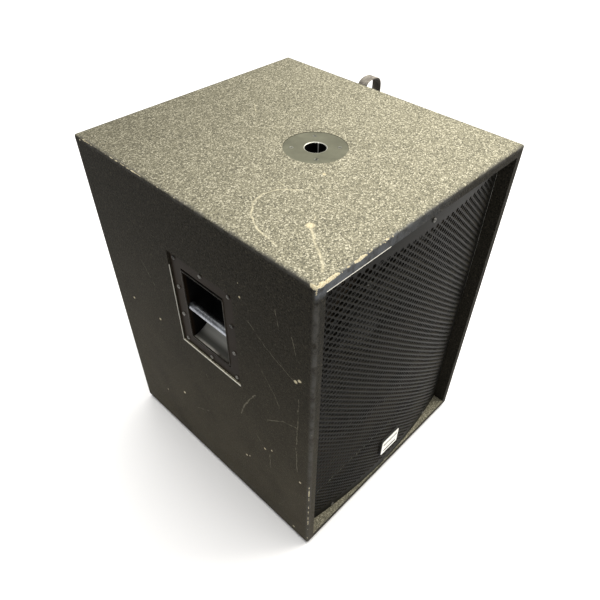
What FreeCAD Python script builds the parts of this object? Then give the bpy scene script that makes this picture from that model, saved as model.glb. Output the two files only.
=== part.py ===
import FreeCAD, Part
import math
import os
import re
import Sketcher

# A passive 18-inch subwoofer cabinet. Millimetres. X runs across the front, Y from the front to
# the back, Z up. The origin is the middle of the bottom panel's underside; the feet hang below it.

V = FreeCAD.Vector
doc = FreeCAD.newDocument("subwoofer")
sheet = doc.addObject("Spreadsheet::Sheet", "Dims")
sizes = {}


def size(name, value, meaning):
    """Writes one driving dimension to the sheet: a number, or a rule that starts with =."""
    row = len(sizes) + 1
    sheet.set(f"A{row}", meaning)
    sheet.set(f"B{row}", str(value))
    sheet.setAlias(f"B{row}", name)
    sizes[name] = value


# ---- the cabinet
size("cab_width", 520, "outer width")
size("cab_depth", 570, "outer depth")
size("cab_height", 716, "outer height without the feet")
size("panel", 18, "thickness of the five outer plywood panels")
size("edge_round", 4, "round-over of every outer edge")
size("baffle_panel", 21, "thickness of the baffle")
size("baffle_setback", 60, "front edge of the cabinet to the baffle's face")
size("brace_panel", 15, "thickness of the window brace")
size("brace_border", 60, "border left round the brace's window")
size("brace_place", 90, "middle of the cabinet to the brace's front face")
size("lining", 25, "thickness of the damping felt")
size("lining_gap", 1, "gap round the felt")
# ---- the grille
size("grille_sheet", 1.5, "thickness of the perforated steel")
size("grille_apex", 2, "front edge of the cabinet to the middle of the grille")
size("grille_bow", 24, "how far the grille's ends lie behind its middle")
size("grille_gap", 0.5, "gap between the grille and the panels")
size("grille_return", 12, "folded edge at each end of the grille")
size("batten_tall", 20, "height of the strips that the grille is screwed to")
size("batten_deep", 50, "front edge of the cabinet to the back of the strips")
size("grille_screw_side", 168, "middle screw to the screw beside it")
size("grille_seat", 0.9, "air under a grille screw's head, where the sheet slopes")
size("badge_wide", 60, "width of the badge")
size("badge_tall", 50, "height of the badge")
size("badge_thick", 6, "how far the badge stands off the grille")
size("badge_height", 102, "underside to the middle of the badge")
# ---- the woofer
size("woofer_height", "=cab_height * 385 / 716", "underside to the middle of the woofer")
size("frame_radius", 230, "outside of the woofer's frame")
size("frame_flange", 9, "thickness of the frame's flange")
size("frame_wall", 3, "wall of the frame's basket")
size("frame_gap", 2, "gap between the frame and its hole in the baffle")
size("throat_radius", 209, "outside of the basket where it passes the baffle")
size("seat_radius", 112, "outside of the basket where the motor is bolted on")
size("basket_deep", 118, "flange face to the motor")
size("basket_windows", 6, "number of openings in the basket")
size("gasket_thick", 6, "thickness of the front gasket")
size("bolt_circle", 221, "radius of the woofer's bolt circle")
size("bolt_count", 8, "number of bolts round the woofer")
size("surround_outer", 206, "outer edge of the surround")
size("surround_inner", 176, "edge of the cone")
size("surround_wall", 1.2, "thickness of the surround")
size("surround_land", 7, "flat glued edge of the surround")
size("cone_wall", 1.6, "thickness of the paper cone")
size("cone_deep", 82, "depth of the cone")
size("cap_radius", 66, "radius of the dust cap at the cone")
size("coil_radius", 50, "middle of the voice coil's wall")
size("coil_wall", 1.6, "thickness of the former and its winding")
size("coil_long", 68, "length of the voice coil")
size("coil_gap", 0.9, "air each side of the voice coil")
size("plate_thick", 12, "thickness of the motor's two steel plates")
size("magnet_thick", 24, "thickness of the ring magnet")
size("magnet_radius", 110, "outside of the ring magnet")
size("plate_radius", 100, "outside of the motor's plates")
size("vent_radius", 14, "vent through the pole")
size("terminal_wide", 44, "width of the woofer's terminal block")
size("terminal_deep", 18, "depth of the terminal block")
size("terminal_tall", 30, "height of the terminal block before the basket cuts it")
size("terminal_place", 60, "baffle's face to the terminal block")
size("terminal_low", 176, "woofer's axis down to the foot of the terminal block")
size("spider_radius", 98, "outside of the spider")
size("spider_wall", 0.8, "thickness of the spider")
# ---- the handles
size("handle_long", 166, "rebate for the handle plate, front to back")
size("handle_tall", 216, "rebate for the handle plate, up")
size("handle_rebate", 6, "depth of the rebate")
size("handle_gap", 1, "gap round the handle plate")
size("handle_sheet", 2, "thickness of the steel plate and cup")
size("mouth_long", 108, "opening of the handle, front to back")
size("mouth_tall", 166, "opening of the handle, up")
size("cup_deep", 66, "depth of the handle's cup")
size("handle_from_front", 256, "front edge of the cabinet to the middle of the handle")
size("handle_height", "=cab_height * 484 / 716", "underside to the middle of the handle")
size("bar_radius", 8, "radius of the grip bar")
size("bar_inset", 13.5, "outer face of the cabinet to the middle of the bar")
size("bar_drop", 7, "middle of the handle down to the bar")
size("handle_screw_y", 70, "middle of the handle to its side screws")
size("handle_screw_z", 97, "middle of the handle to its top screws")
size("handle_screw_mid", 33, "middle of the handle to its side column screws")
# ---- the pole socket
size("pole_from_front", 245, "front edge of the cabinet to the pole socket")
size("pole_flange", 55, "radius of the socket's flange")
size("pole_plate", 4, "thickness of the socket's flange")
size("pole_sink", 0.6, "how far the flange lies below the top")
size("pole_bore", 18.25, "radius of the socket's bore")
size("pole_wall", 2.5, "wall of the socket's tube")
size("pole_long", 90, "depth of the socket")
size("pole_mouth", 1.4, "chamfer of the bore")
size("pole_screws", 40.6, "radius of the circle of flange screws")
# ---- the rear
size("dish_wide", 150, "width of the rear connector plate")
size("dish_tall", 110, "height of the rear connector plate")
size("dish_height", 200, "underside to the middle of the connector plate")
size("dish_plate", 2.5, "thickness of the connector plate")
size("dish_inner_wide", 110, "width of the recess in the connector plate")
size("dish_inner_tall", 66, "height of the recess in the connector plate")
size("dish_deep", 32, "depth of the recess")
size("socket_side", 27, "middle of the plate to each socket")
size("socket_radius", 12, "radius of a socket's body")
size("socket_bore", 9.5, "radius of a socket's mouth")
size("cable_radius", 4, "radius of the cable to the woofer")
size("tail_gap", 1, "back of the input socket to the end of the cable")
size("port_radius", 50, "bore of each port")
size("port_wall", 3, "wall of each port tube")
size("port_long", 160, "length of each port tube")
size("port_flange", 66, "radius of each port's flange")
size("port_flange_thick", 4, "thickness of each port's flange")
size("port_side", 150, "middle of the back to each port")
size("port_height", "=cab_height * 560 / 716", "underside to the ports")
# ---- feet, strap and fasteners
size("foot_radius", 19, "radius of a rubber foot")
size("foot_tall", 9, "height of a rubber foot")
size("foot_inset", 50, "outer faces to the middle of a foot")
size("strap_wide", 22, "width of the strap loop")
size("strap_thick", 3, "thickness of the strap")
size("strap_out", 52, "how far the loop stands out from the side")
size("strap_rise", 6, "how far the loop rises above the top")
size("strap_reach", 96, "height of the loop")
size("strap_from_front", 361, "front edge of the cabinet to the strap")
size("strap_clamp", 30, "height of the clamped tail")
size("clamp_thick", 2.5, "thickness of the steel clamp plate")
size("screw_radius", 2.0, "radius of a wood screw's shank")
size("screw_head", 4.0, "radius of a wood screw's head")
size("screw_head_tall", 2.2, "height of a wood screw's head")
size("screw_long", 15, "length of a wood screw in the wood")
size("bolt_radius", 3, "radius of a woofer bolt")
size("bolt_head", 5, "radius of a woofer bolt's head")
size("bolt_head_tall", 5.5, "height of a woofer bolt's head")
size("bolt_gap", 1.2, "air round a woofer bolt in its hole")
size("bolt_spare", 6, "length of a woofer bolt behind the baffle")
size("tee_flange", 9, "radius of a tee nut's flange")
size("tee_sheet", 1.5, "thickness of a tee nut's flange")
size("tee_long", 8, "depth of a tee nut in the wood")
size("badge_corner", 3, "radius of the badge's corners")
size("badge_pin", 1.5, "radius of the badge's pins")
size("badge_pin_long", 5.5, "length of the badge's pins")
size("basket_lip", 12, "width of the flange inside the basket's wall")
size("spider_glue", 14, "width of the ledge that carries the spider")
size("window_share", 0.72, "width of a basket window as a share of the seat's radius")
size("window_deep", 0.62, "depth of a basket window as a share of the basket's depth")
size("window_start", 0.24, "start of a basket window as a share of the basket's depth")
size("window_near", 0.6, "inner edge of a basket window as a share of the seat's radius")
size("cone_inset", 3, "edge of the cone inside the surround's roll")
size("cap_wall", 1.2, "thickness of the dust cap")
size("magnet_gap", 8, "air between the voice coil and the magnet")
size("spider_gap", 0.3, "air between the voice coil and the spider")
size("dish_screw", 9, "edge of the connector plate to its screws")
size("socket_lip", 3, "how far a socket's flange stands beyond its body")
size("socket_lip_thick", 2, "thickness of a socket's flange")
size("socket_long", 24, "depth of a socket's body")
size("socket_floor", 2, "thickness of a socket's floor")
size("foot_taper", 0.85, "foot's lower radius as a share of its upper one")
size("foot_room", 1.5, "air round the screw's head in a foot")
size("foot_screw", 12, "length of a foot's screw in the wood")
size("clamp_over", 3, "how far the clamp plate stands out beyond the strap on each side")
size("thread_gap", 0.05, "air between a fastener and its hole")
size("skin_gap", 0.4, "air between pieces that must not touch")
doc.recompute()
for alias in sizes:
    sizes[alias] = float(sheet.get(alias))

FRONT = "(-cab_depth / 2)"
BACK = "(cab_depth / 2)"
SIDE = "(cab_width / 2)"
INNER = "(cab_width / 2 - panel)"
CEILING = "(cab_height - panel)"
BAFFLE = "(-cab_depth / 2 + baffle_setback)"
BAFFLE_BACK = "(-cab_depth / 2 + baffle_setback + baffle_panel)"
FLANGE = "(-cab_depth / 2 + baffle_setback - frame_flange)"
BACK_INSIDE = "(cab_depth / 2 - panel)"
UP, DOWN = (0, 0, 1), (0, 0, -1)
PAST = 1  # how far a cutting tool reaches past the faces it opens
BACKWARDS, FORWARDS = (0, 1, 0), (0, -1, 0)
TO_RIGHT, TO_LEFT = (1, 0, 0), (-1, 0, 0)

parts = {}


def rule(text):
    """An expression in which every size's name has the sheet's name before it."""
    def named(found):
        word = found.group()
        return "Dims." + word if word in sizes else word
    return re.sub(r"[a-z][a-z_]*", named, str(text))


def bind(piece, **rules):
    for prop, text in rules.items():
        piece.setExpression(prop, rule(text))


def place(piece, at, along=UP):
    """Puts piece's own origin at three expressions, with its own Z along a direction."""
    piece.Placement = FreeCAD.Placement(V(), FreeCAD.Rotation(V(*UP), V(*along)))
    for letter, text in zip("xyz", at):
        piece.setExpression("Placement.Base." + letter, rule(text))
    return piece


def block(name, x, y, z):
    """A block between two expressions on each axis."""
    piece = doc.addObject("Part::Box", name)
    bind(piece, Length=f"({x[1]}) - ({x[0]})", Width=f"({y[1]}) - ({y[0]})", Height=f"({z[1]}) - ({z[0]})")
    return place(piece, (x[0], y[0], z[0]))


def rod(name, radius, length, at, along=UP):
    piece = doc.addObject("Part::Cylinder", name)
    bind(piece, Radius=radius, Height=length)
    return place(piece, at, along)


def taper(name, start, end, length, at, along=UP):
    piece = doc.addObject("Part::Cone", name)
    bind(piece, Radius1=start, Radius2=end, Height=length)
    return place(piece, at, along)


def cut(name, base, *tools):
    for number, tool in enumerate(tools):
        last = number == len(tools) - 1
        piece = doc.addObject("Part::Cut", name if last else f"{name}_less_{number}")
        piece.Base, piece.Tool = base, tool
        base = piece
    return base


def both(name, one, other):
    piece = doc.addObject("Part::Common", name)
    piece.Base, piece.Tool = one, other
    return piece


def fuse(name, *pieces):
    piece = doc.addObject("Part::MultiFuse", name)
    piece.Shapes = list(pieces)
    piece.Refine = True
    return piece


def group(name, pieces):
    """Separate solids kept in one node."""
    piece = doc.addObject("Part::Compound", name)
    piece.Links = list(pieces)
    return piece


def mirrored(name, source):
    """source on the other side of the cabinet's middle plane."""
    piece = doc.addObject("Part::Mirroring", name)
    piece.Source = source
    piece.Normal = V(1, 0, 0)
    return piece


def ring(name, outer, inner, length, at, along=UP):
    back = 0.5
    start = [f"{text} - {back * step}" for text, step in zip(at, along)]
    hole = rod(name + "_hole", inner, f"({length}) + {2 * back}", start, along)
    return cut(name, rod(name + "_disc", outer, length, at, along), hole)


def part(name, piece):
    piece.Label = name
    parts[name] = piece
    return piece


def ahead(at, along, distance):
    """The point that lies a distance from at along a direction."""
    return [f"{text} + ({distance}) * {step}" for text, step in zip(at, along)]


def wood_screws(name, places, along, long="screw_long", radius="screw_radius"):
    """Pan-head screws whose heads sit at places, pointing along. Returns them and their holes."""
    screws, holes = [], []
    back = tuple(-step for step in along)
    for number, at in enumerate(places):
        own = f"{name}_{number}"
        head = taper(own + "_head", "screw_head", "screw_head * 0.6", "screw_head_tall", at, back)
        shank = rod(own + "_shank", f"{radius} - thread_gap", long, at, along)
        screws.append(fuse(own, head, shank))
        holes.append(rod(own + "_hole", radius, f"({long}) + 0.5", at, along))
    return group(name, screws), group(name + "_holes", holes)


# ---- the plywood shell: five panels cut from one rounded block
def rounded_block():
    body = doc.addObject("PartDesign::Body", "rounded_block")
    planes = {item.Role: item for item in body.Origin.OriginFeatures}
    outline = body.newObject("Sketcher::SketchObject", "block_outline")
    outline.AttachmentSupport = [(planes["XY_Plane"], "")]
    outline.MapMode = "FlatFace"
    half_x, half_y = sizes["cab_width"] / 2, sizes["cab_depth"] / 2
    corners = [V(-half_x, -half_y), V(half_x, -half_y), V(half_x, half_y), V(-half_x, half_y)]
    for number, corner in enumerate(corners):
        outline.addGeometry(Part.LineSegment(corner, corners[(number + 1) % 4]))
    for number in range(4):
        outline.addConstraint(Sketcher.Constraint("Coincident", number, 2, (number + 1) % 4, 1))
    for number, kind in enumerate(("Horizontal", "Vertical", "Horizontal", "Vertical")):
        outline.addConstraint(Sketcher.Constraint(kind, number))
    outline.addConstraint(Sketcher.Constraint("Symmetric", 0, 1, 1, 2, -1, 1))
    wide = outline.addConstraint(Sketcher.Constraint("DistanceX", 0, 1, 0, 2, 2 * half_x))
    deep = outline.addConstraint(Sketcher.Constraint("DistanceY", 1, 1, 1, 2, 2 * half_y))
    outline.setExpression(f"Constraints[{wide}]", rule("cab_width"))
    outline.setExpression(f"Constraints[{deep}]", rule("cab_depth"))
    pad = body.newObject("PartDesign::Pad", "block_pad")
    pad.Profile = outline
    pad.setExpression("Length", rule("cab_height"))
    doc.recompute()
    soft = body.newObject("PartDesign::Fillet", "block_round")
    soft.Base = (pad, [f"Edge{number + 1}" for number in range(len(pad.Shape.Edges))])
    soft.setExpression("Radius", rule("edge_round"))
    body.Tip = soft
    doc.recompute()
    return body


shell = rounded_block()


def shell_panel(name, x, y, z):
    return both(name + "_blank", block(name + "_sheet", x, y, z), shell)


ACROSS = ("-" + INNER, INNER)
WHOLE_DEPTH = (FRONT, BACK)
left_blank = shell_panel("left_side", ("-" + SIDE, "-" + INNER), WHOLE_DEPTH, ("0", "cab_height"))
right_blank = shell_panel("right_side", (INNER, SIDE), WHOLE_DEPTH, ("0", "cab_height"))
top_blank = shell_panel("top", ACROSS, WHOLE_DEPTH, (CEILING, "cab_height"))
bottom_blank = shell_panel("bottom", ACROSS, WHOLE_DEPTH, ("0", "panel"))
back_blank = shell_panel("back", ACROSS, (BACK_INSIDE, BACK), ("panel", CEILING))

# ---- handles: a steel plate with a rounded cup and a grip bar, let into each side
HANDLE_Y = "(-cab_depth / 2 + handle_from_front)"
PLATE_FACE = "(-cab_width / 2 + handle_rebate - handle_sheet)"
PLATE_BACK = "(-cab_width / 2 + handle_rebate)"


def about(middle, length, extra="0"):
    """Two expressions that lie evenly about a middle."""
    return (f"{middle} - ({length}) / 2 - ({extra})", f"{middle} + ({length}) / 2 + ({extra})")


def cup_form(name, extra, ends):
    """Half of an elliptic rod lying front to back: the space inside a cup, or its outside."""
    curve = doc.addObject("Part::Ellipse", name + "_curve")
    bind(curve, MajorRadius=f"mouth_tall / 2 + {extra}", MinorRadius=f"cup_deep + {extra}")
    turn = FreeCAD.Rotation(V(0, 0, 1), V(1, 0, 0), V(0, -1, 0), "XYZ")
    curve.Placement = FreeCAD.Placement(V(), turn)
    start = (PLATE_FACE, f"{HANDLE_Y} + mouth_long / 2 + {ends}", "handle_height")
    for letter, text in zip("xyz", start):
        curve.setExpression("Placement.Base." + letter, rule(text))
    form = doc.addObject("Part::Extrusion", name + "_rod")
    form.Base, form.DirMode, form.Dir, form.Solid = curve, "Custom", V(0, -1, 0), True
    form.setExpression("LengthFwd", rule(f"mouth_long + 2 * ({ends})"))
    inside = block(
        name + "_half",
        (PLATE_FACE, f"{PLATE_FACE} + cup_deep + handle_sheet * 3"),
        about(HANDLE_Y, "mouth_long", "handle_sheet * 3"),
        about("handle_height", "mouth_tall", "handle_sheet * 3"),
    )
    return both(name, form, inside)


plate = block(
    "handle_plate",
    (PLATE_FACE, PLATE_BACK),
    about(HANDLE_Y, "handle_long - 2 * handle_gap"),
    about("handle_height", "handle_tall - 2 * handle_gap"),
)
cup_outside = cup_form("cup_outside", "handle_sheet", "handle_sheet")
cup_inside = cup_form("cup_inside", "0", "0")
handle_rows = [(y, z) for z in (-1, 1) for y in (-1, 0, 1)]
handle_places = [
    (PLATE_FACE, f"{HANDLE_Y} + {y} * handle_screw_y", f"handle_height + {z} * handle_screw_z")
    for y, z in handle_rows
]
handle_places += [
    (PLATE_FACE, f"{HANDLE_Y} + {y} * handle_screw_y", f"handle_height + {z} * handle_screw_mid")
    for y in (-1, 1)
    for z in (-1, 1)
]
handle_screws, handle_holes = wood_screws(
    "handle_screws_one_side", handle_places, TO_RIGHT, "panel - handle_rebate"
)
dish = cut("handle_dish", fuse("handle_steel", plate, cup_outside), cup_inside, handle_holes)
bar = rod(
    "handle_bar",
    "bar_radius",
    "mouth_long",
    ("-cab_width / 2 + bar_inset", f"{HANDLE_Y} - mouth_long / 2", "handle_height - bar_drop"),
    BACKWARDS,
)
rebate = block(
    "handle_rebate",
    ("-" + SIDE + " - 1", PLATE_BACK),
    about(HANDLE_Y, "handle_long"),
    about("handle_height", "handle_tall"),
)
cup_hole = block(
    "handle_hole",
    ("-" + SIDE, "-" + INNER + " + 1"),
    about(HANDLE_Y, "mouth_long", "handle_sheet + handle_gap"),
    about("handle_height", "mouth_tall", "handle_sheet + handle_gap"),
)
part("left_side_panel", cut("left_side_cut", left_blank, rebate, cup_hole, handle_holes))
part("left_handle_dish", dish)
part("left_handle_bar", bar)
part("left_handle_screws", handle_screws)
part("right_handle_dish", mirrored("mirrored_dish", dish))
part("right_handle_bar", mirrored("mirrored_bar", bar))
part("right_handle_screws", mirrored("mirrored_handle_screws", handle_screws))

# ---- strap loop on the right side, near the top: its two tails lie under a steel clamp
STRAP_Y = "(-cab_depth / 2 + strap_from_front)"
STRAP_TOP = "(cab_height + strap_rise)"
LOOP_FOOT = "(cab_height + strap_rise - strap_reach)"


def strap_form(name, less):
    """The outside of the loop, or with less its inside: a flat tongue with a rounded top."""
    radius = f"(strap_out / 2 - ({less}))"
    middle = f"({SIDE} + strap_out / 2)"
    high = f"({STRAP_TOP} - strap_out / 2)"
    band_start = f"{STRAP_Y} - strap_wide / 2"
    crown = rod(name + "_crown", radius, "strap_wide", (middle, band_start, high), BACKWARDS)
    leg = block(
        name + "_leg",
        (f"{middle} - {radius}", f"{middle} + {radius}"),
        about(STRAP_Y, "strap_wide"),
        (f"{LOOP_FOOT} + strap_out / 2", high),
    )
    heel = rod(
        name + "_heel", radius, "strap_wide",
        (middle, band_start, f"{LOOP_FOOT} + strap_out / 2"), BACKWARDS,
    )
    return fuse(name, crown, leg, heel)


tail = block(
    "strap_tail",
    (SIDE, f"{SIDE} + strap_thick"),
    about(STRAP_Y, "strap_wide"),
    (f"{LOOP_FOOT} - strap_clamp", f"{LOOP_FOOT} + strap_out / 2"),
)
clamp_places = [
    (f"{SIDE} + strap_thick + clamp_thick", STRAP_Y, f"{LOOP_FOOT} - strap_clamp * {share}")
    for share in (0.25, 0.75)
]
clamp_screws, clamp_holes = wood_screws("strap_screws", clamp_places, TO_LEFT, "screw_long + clamp_thick")
loop = cut("strap_band", strap_form("strap_outside", "0"), strap_form("strap_inside", "strap_thick"))
part("strap_loop", cut("strap_drilled", fuse("strap_joined", loop, tail), clamp_holes))
clamp = block(
    "clamp_plate",
    (f"{SIDE} + strap_thick", f"{SIDE} + strap_thick + clamp_thick"),
    about(STRAP_Y, "strap_wide", "clamp_over"),
    (f"{LOOP_FOOT} - strap_clamp", f"{LOOP_FOOT} - 1"),
)
part("strap_clamp_plate", cut("clamp_drilled", clamp, clamp_holes))
part("strap_clamp_screws", clamp_screws)
right_cuts = [mirrored(f"mirrored_{tool.Name}", tool) for tool in (rebate, cup_hole, handle_holes)]
part("right_side_panel", cut("right_side_cut", right_blank, *right_cuts, clamp_holes))

# ---- pole socket in the top: a turned flange and a closed tube
POLE_Y = "(-cab_depth / 2 + pole_from_front)"
POLE_TOP = "(cab_height - pole_sink)"


def pole_socket():
    """One revolved body: each corner of its half section is held by two sizes."""
    body = doc.addObject("PartDesign::Body", "socket_body")
    planes = {item.Role: item for item in body.Origin.OriginFeatures}
    half = body.newObject("Sketcher::SketchObject", "socket_section")
    half.AttachmentSupport = [(planes["XZ_Plane"], "")]
    half.MapMode = "FlatFace"
    corners = (
        ("pole_bore + pole_mouth", "cab_height - pole_sink"),
        ("pole_flange", "cab_height - pole_sink"),
        ("pole_flange", "cab_height - pole_sink - pole_plate"),
        ("pole_bore + pole_wall", "cab_height - pole_sink - pole_plate"),
        ("pole_bore + pole_wall", "cab_height - pole_sink - pole_long - pole_wall"),
        ("0", "cab_height - pole_sink - pole_long - pole_wall"),
        ("0", "cab_height - pole_sink - pole_long"),
        ("pole_bore", "cab_height - pole_sink - pole_long"),
        ("pole_bore", "cab_height - pole_sink - pole_mouth"),
    )
    first = [V(10.0 * (1 + number), 500.0 + 7 * (number % 3)) for number in range(len(corners))]
    for number, corner in enumerate(first):
        half.addGeometry(Part.LineSegment(corner, first[(number + 1) % len(first)]))
    for number in range(len(corners)):
        after = (number + 1) % len(corners)
        half.addConstraint(Sketcher.Constraint("Coincident", number, 2, after, 1))
    for number, (radius, height) in enumerate(corners):
        for kind, text in (("DistanceX", radius), ("DistanceY", height)):
            held = half.addConstraint(Sketcher.Constraint(kind, -1, 1, number, 1, 50.0))
            half.setExpression(f"Constraints[{held}]", rule(text))
    doc.recompute()
    turned = body.newObject("PartDesign::Revolution", "socket_turned")
    turned.Profile = half
    turned.ReferenceAxis = (half, ["V_Axis"])
    turned.Angle = 360
    body.Tip = turned
    place(body, ("0", POLE_Y, "0"))
    doc.recompute()
    return body


corner_signs = [(x, y) for x in (-1, 1) for y in (-1, 1)]
pole_places = [
    (
        f"{x} * pole_screws * sqrt(0.5)",
        f"{POLE_Y} + {y} * pole_screws * sqrt(0.5)",
        f"{POLE_TOP} - screw_head_tall",
    )
    for x, y in corner_signs
]
pole_screws, pole_holes, pole_sinks = [], [], []
for number, at in enumerate(pole_places):
    own = f"pole_screw_{number}"
    head = taper(own + "_head", "screw_radius", "screw_head", "screw_head_tall", at)
    shank = rod(own + "_shank", "screw_radius - thread_gap", "screw_long", at, DOWN)
    pole_screws.append(fuse(own, head, shank))
    pole_holes.append(rod(own + "_hole", "screw_radius", "screw_long + 0.5", at, DOWN))
    sink = taper(
        own + "_sink", "screw_radius + thread_gap", "screw_head + 3 * thread_gap",
        "screw_head_tall + 2 * thread_gap", at,
    )
    pole_sinks.append(sink)
pole_drill = group("pole_holes", pole_holes)
part("pole_socket", cut("socket_drilled", pole_socket(), pole_drill, group("pole_sinks", pole_sinks)))
part("pole_socket_screws", group("pole_screw_set", pole_screws))
flange_seat = rod(
    "pole_seat", "pole_flange + skin_gap", "pole_plate + pole_sink + 1",
    ("0", POLE_Y, f"{POLE_TOP} - pole_plate"),
)
tube_hole = rod(
    "pole_tube_hole", "pole_bore + pole_wall + skin_gap", "panel + 2", ("0", POLE_Y, CEILING + " - 1"),
)

# ---- the bowed grille with the strips and screws that hold it
GRILLE_RADIUS = "((cab_width / 2 - panel - grille_gap)^2 + grille_bow^2) / (2 * grille_bow)"
GRILLE_FACE = "(-cab_depth / 2 + grille_apex)"
GRILLE_MIDDLE = ("0", f"{GRILLE_FACE} + {GRILLE_RADIUS}", "0")
GRILLE_END = f"({INNER} - grille_gap)"
GRILLE_RISE = ("panel + grille_gap", CEILING + " - grille_gap")


def bowed(name, radius):
    return rod(name, radius, "cab_height", GRILLE_MIDDLE)


bow_band = cut(
    "bow_band",
    bowed("bow_outside", GRILLE_RADIUS),
    bowed("bow_inside", f"{GRILLE_RADIUS} - grille_sheet"),
)
bow_limits = block(
    "bow_limits", ("-" + GRILLE_END, GRILLE_END),
    (f"{FRONT} - 1", f"{GRILLE_FACE} + grille_bow + grille_sheet + 1"), GRILLE_RISE,
)
returns = [
    block(
        f"grille_return_{number}",
        (
            f"{side} * {GRILLE_END} - ({side} + 1) / 2 * grille_sheet",
            f"{side} * {GRILLE_END} + (1 - {side}) / 2 * grille_sheet",
        ),
        (f"{GRILLE_FACE} + grille_bow", f"{GRILLE_FACE} + grille_bow + grille_return"),
        GRILLE_RISE,
    )
    for number, side in enumerate((-1, 1))
]
grille_solid = fuse("grille_solid", both("grille_bow_sheet", bow_band, bow_limits), *returns)

batten_form = bowed("batten_form", f"{GRILLE_RADIUS} - grille_sheet - thread_gap")
batten_rows = {
    "grille_bottom_batten": ("panel", "panel + batten_tall"),
    "grille_top_batten": (f"{CEILING} - batten_tall", CEILING),
}
battens = {
    name: both(
        name + "_curved",
        block(name + "_strip", ("-" + GRILLE_END + " + grille_sheet + 1", GRILLE_END + " - grille_sheet - 1"),
              (FRONT, f"{FRONT} + batten_deep"), rows),
        batten_form,
    )
    for name, rows in batten_rows.items()
}
grille_places = []
for height in ("panel + batten_tall / 2", f"{CEILING} - batten_tall / 2"):
    for step in (-1, 0, 1):
        across = f"{step} * grille_screw_side"
        face = f"{GRILLE_FACE} + {GRILLE_RADIUS} - sqrt(({GRILLE_RADIUS})^2 - ({across})^2) - grille_seat"
        grille_places.append((across, face, height))
grille_screws, grille_holes = wood_screws("grille_screw_set", grille_places, BACKWARDS)
head_rooms = group(
    "grille_head_rooms",
    [
        rod(f"grille_head_room_{number}", "screw_radius + thread_gap", "2 * grille_sheet", at, BACKWARDS)
        for number, at in enumerate(grille_places)
    ],
)
for name, piece in battens.items():
    part(name, cut(name + "_drilled", piece, grille_holes))
part("grille_screws", grille_screws)


# ---- the badge: a raised plate with rounded corners, pinned through the grille
def badge():
    body = doc.addObject("PartDesign::Body", "badge_body")
    planes = {item.Role: item for item in body.Origin.OriginFeatures}
    outline = body.newObject("Sketcher::SketchObject", "badge_outline")
    outline.AttachmentSupport = [(planes["XY_Plane"], "")]
    outline.MapMode = "FlatFace"
    wide, tall = sizes["badge_wide"] / 2, sizes["badge_tall"] / 2
    corners = [V(-wide, -tall), V(wide, -tall), V(wide, tall), V(-wide, tall)]
    for number, corner in enumerate(corners):
        outline.addGeometry(Part.LineSegment(corner, corners[(number + 1) % 4]))
    for number in range(4):
        outline.addConstraint(Sketcher.Constraint("Coincident", number, 2, (number + 1) % 4, 1))
    for number, kind in enumerate(("Horizontal", "Vertical", "Horizontal", "Vertical")):
        outline.addConstraint(Sketcher.Constraint(kind, number))
    outline.addConstraint(Sketcher.Constraint("Symmetric", 0, 1, 1, 2, -1, 1))
    across = outline.addConstraint(Sketcher.Constraint("DistanceX", 0, 1, 0, 2, 2 * wide))
    up = outline.addConstraint(Sketcher.Constraint("DistanceY", 1, 1, 1, 2, 2 * tall))
    outline.setExpression(f"Constraints[{across}]", rule("badge_wide"))
    outline.setExpression(f"Constraints[{up}]", rule("badge_tall"))
    pad = body.newObject("PartDesign::Pad", "badge_pad")
    pad.Profile = outline
    pad.setExpression("Length", rule("badge_thick"))
    doc.recompute()
    upright = [
        f"Edge{number + 1}"
        for number, edge in enumerate(pad.Shape.Edges)
        if abs(edge.BoundBox.ZLength - sizes["badge_thick"]) < 1e-3
    ]
    soft = body.newObject("PartDesign::Fillet", "badge_round")
    soft.Base = (pad, upright)
    soft.setExpression("Radius", rule("badge_corner"))
    body.Tip = soft
    body.Placement = FreeCAD.Placement(V(), FreeCAD.Rotation(V(1, 0, 0), 90))
    for letter, text in zip("xyz", ("0", f"{GRILLE_FACE} - thread_gap", "badge_height")):
        body.setExpression("Placement.Base." + letter, rule(text))
    doc.recompute()
    return body


badge_pins = [
    rod(f"badge_pin_{number}", "badge_pin", "badge_pin_long",
        (f"{step} * badge_wide / 3", f"{GRILLE_FACE} - thread_gap", "badge_height"), BACKWARDS)
    for number, step in enumerate((-1, 1))
]
pin_holes = [
    rod(f"badge_pin_hole_{number}", "badge_pin + thread_gap", f"badge_pin_long + 2 * {PAST}",
        (f"{step} * badge_wide / 3", f"{GRILLE_FACE} - {PAST}", "badge_height"), BACKWARDS)
    for number, step in enumerate((-1, 1))
]
part("badge", fuse("badge_pinned", badge(), *badge_pins))
part("front_grille", cut("grille_drilled", grille_solid, head_rooms, *pin_holes))

# ---- the baffle and the woofer that is bolted to its face
def on_axis(place_y):
    return ("0", place_y, "woofer_height")


def round_axis(radius, place_y, turn):
    """A point on a circle about the woofer's axis, turn degrees from straight up."""
    sine, cosine = math.sin(math.radians(turn)), math.cos(math.radians(turn))
    return (f"({radius}) * {sine:.6f}", place_y, f"woofer_height + ({radius}) * {cosine:.6f}")


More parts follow.
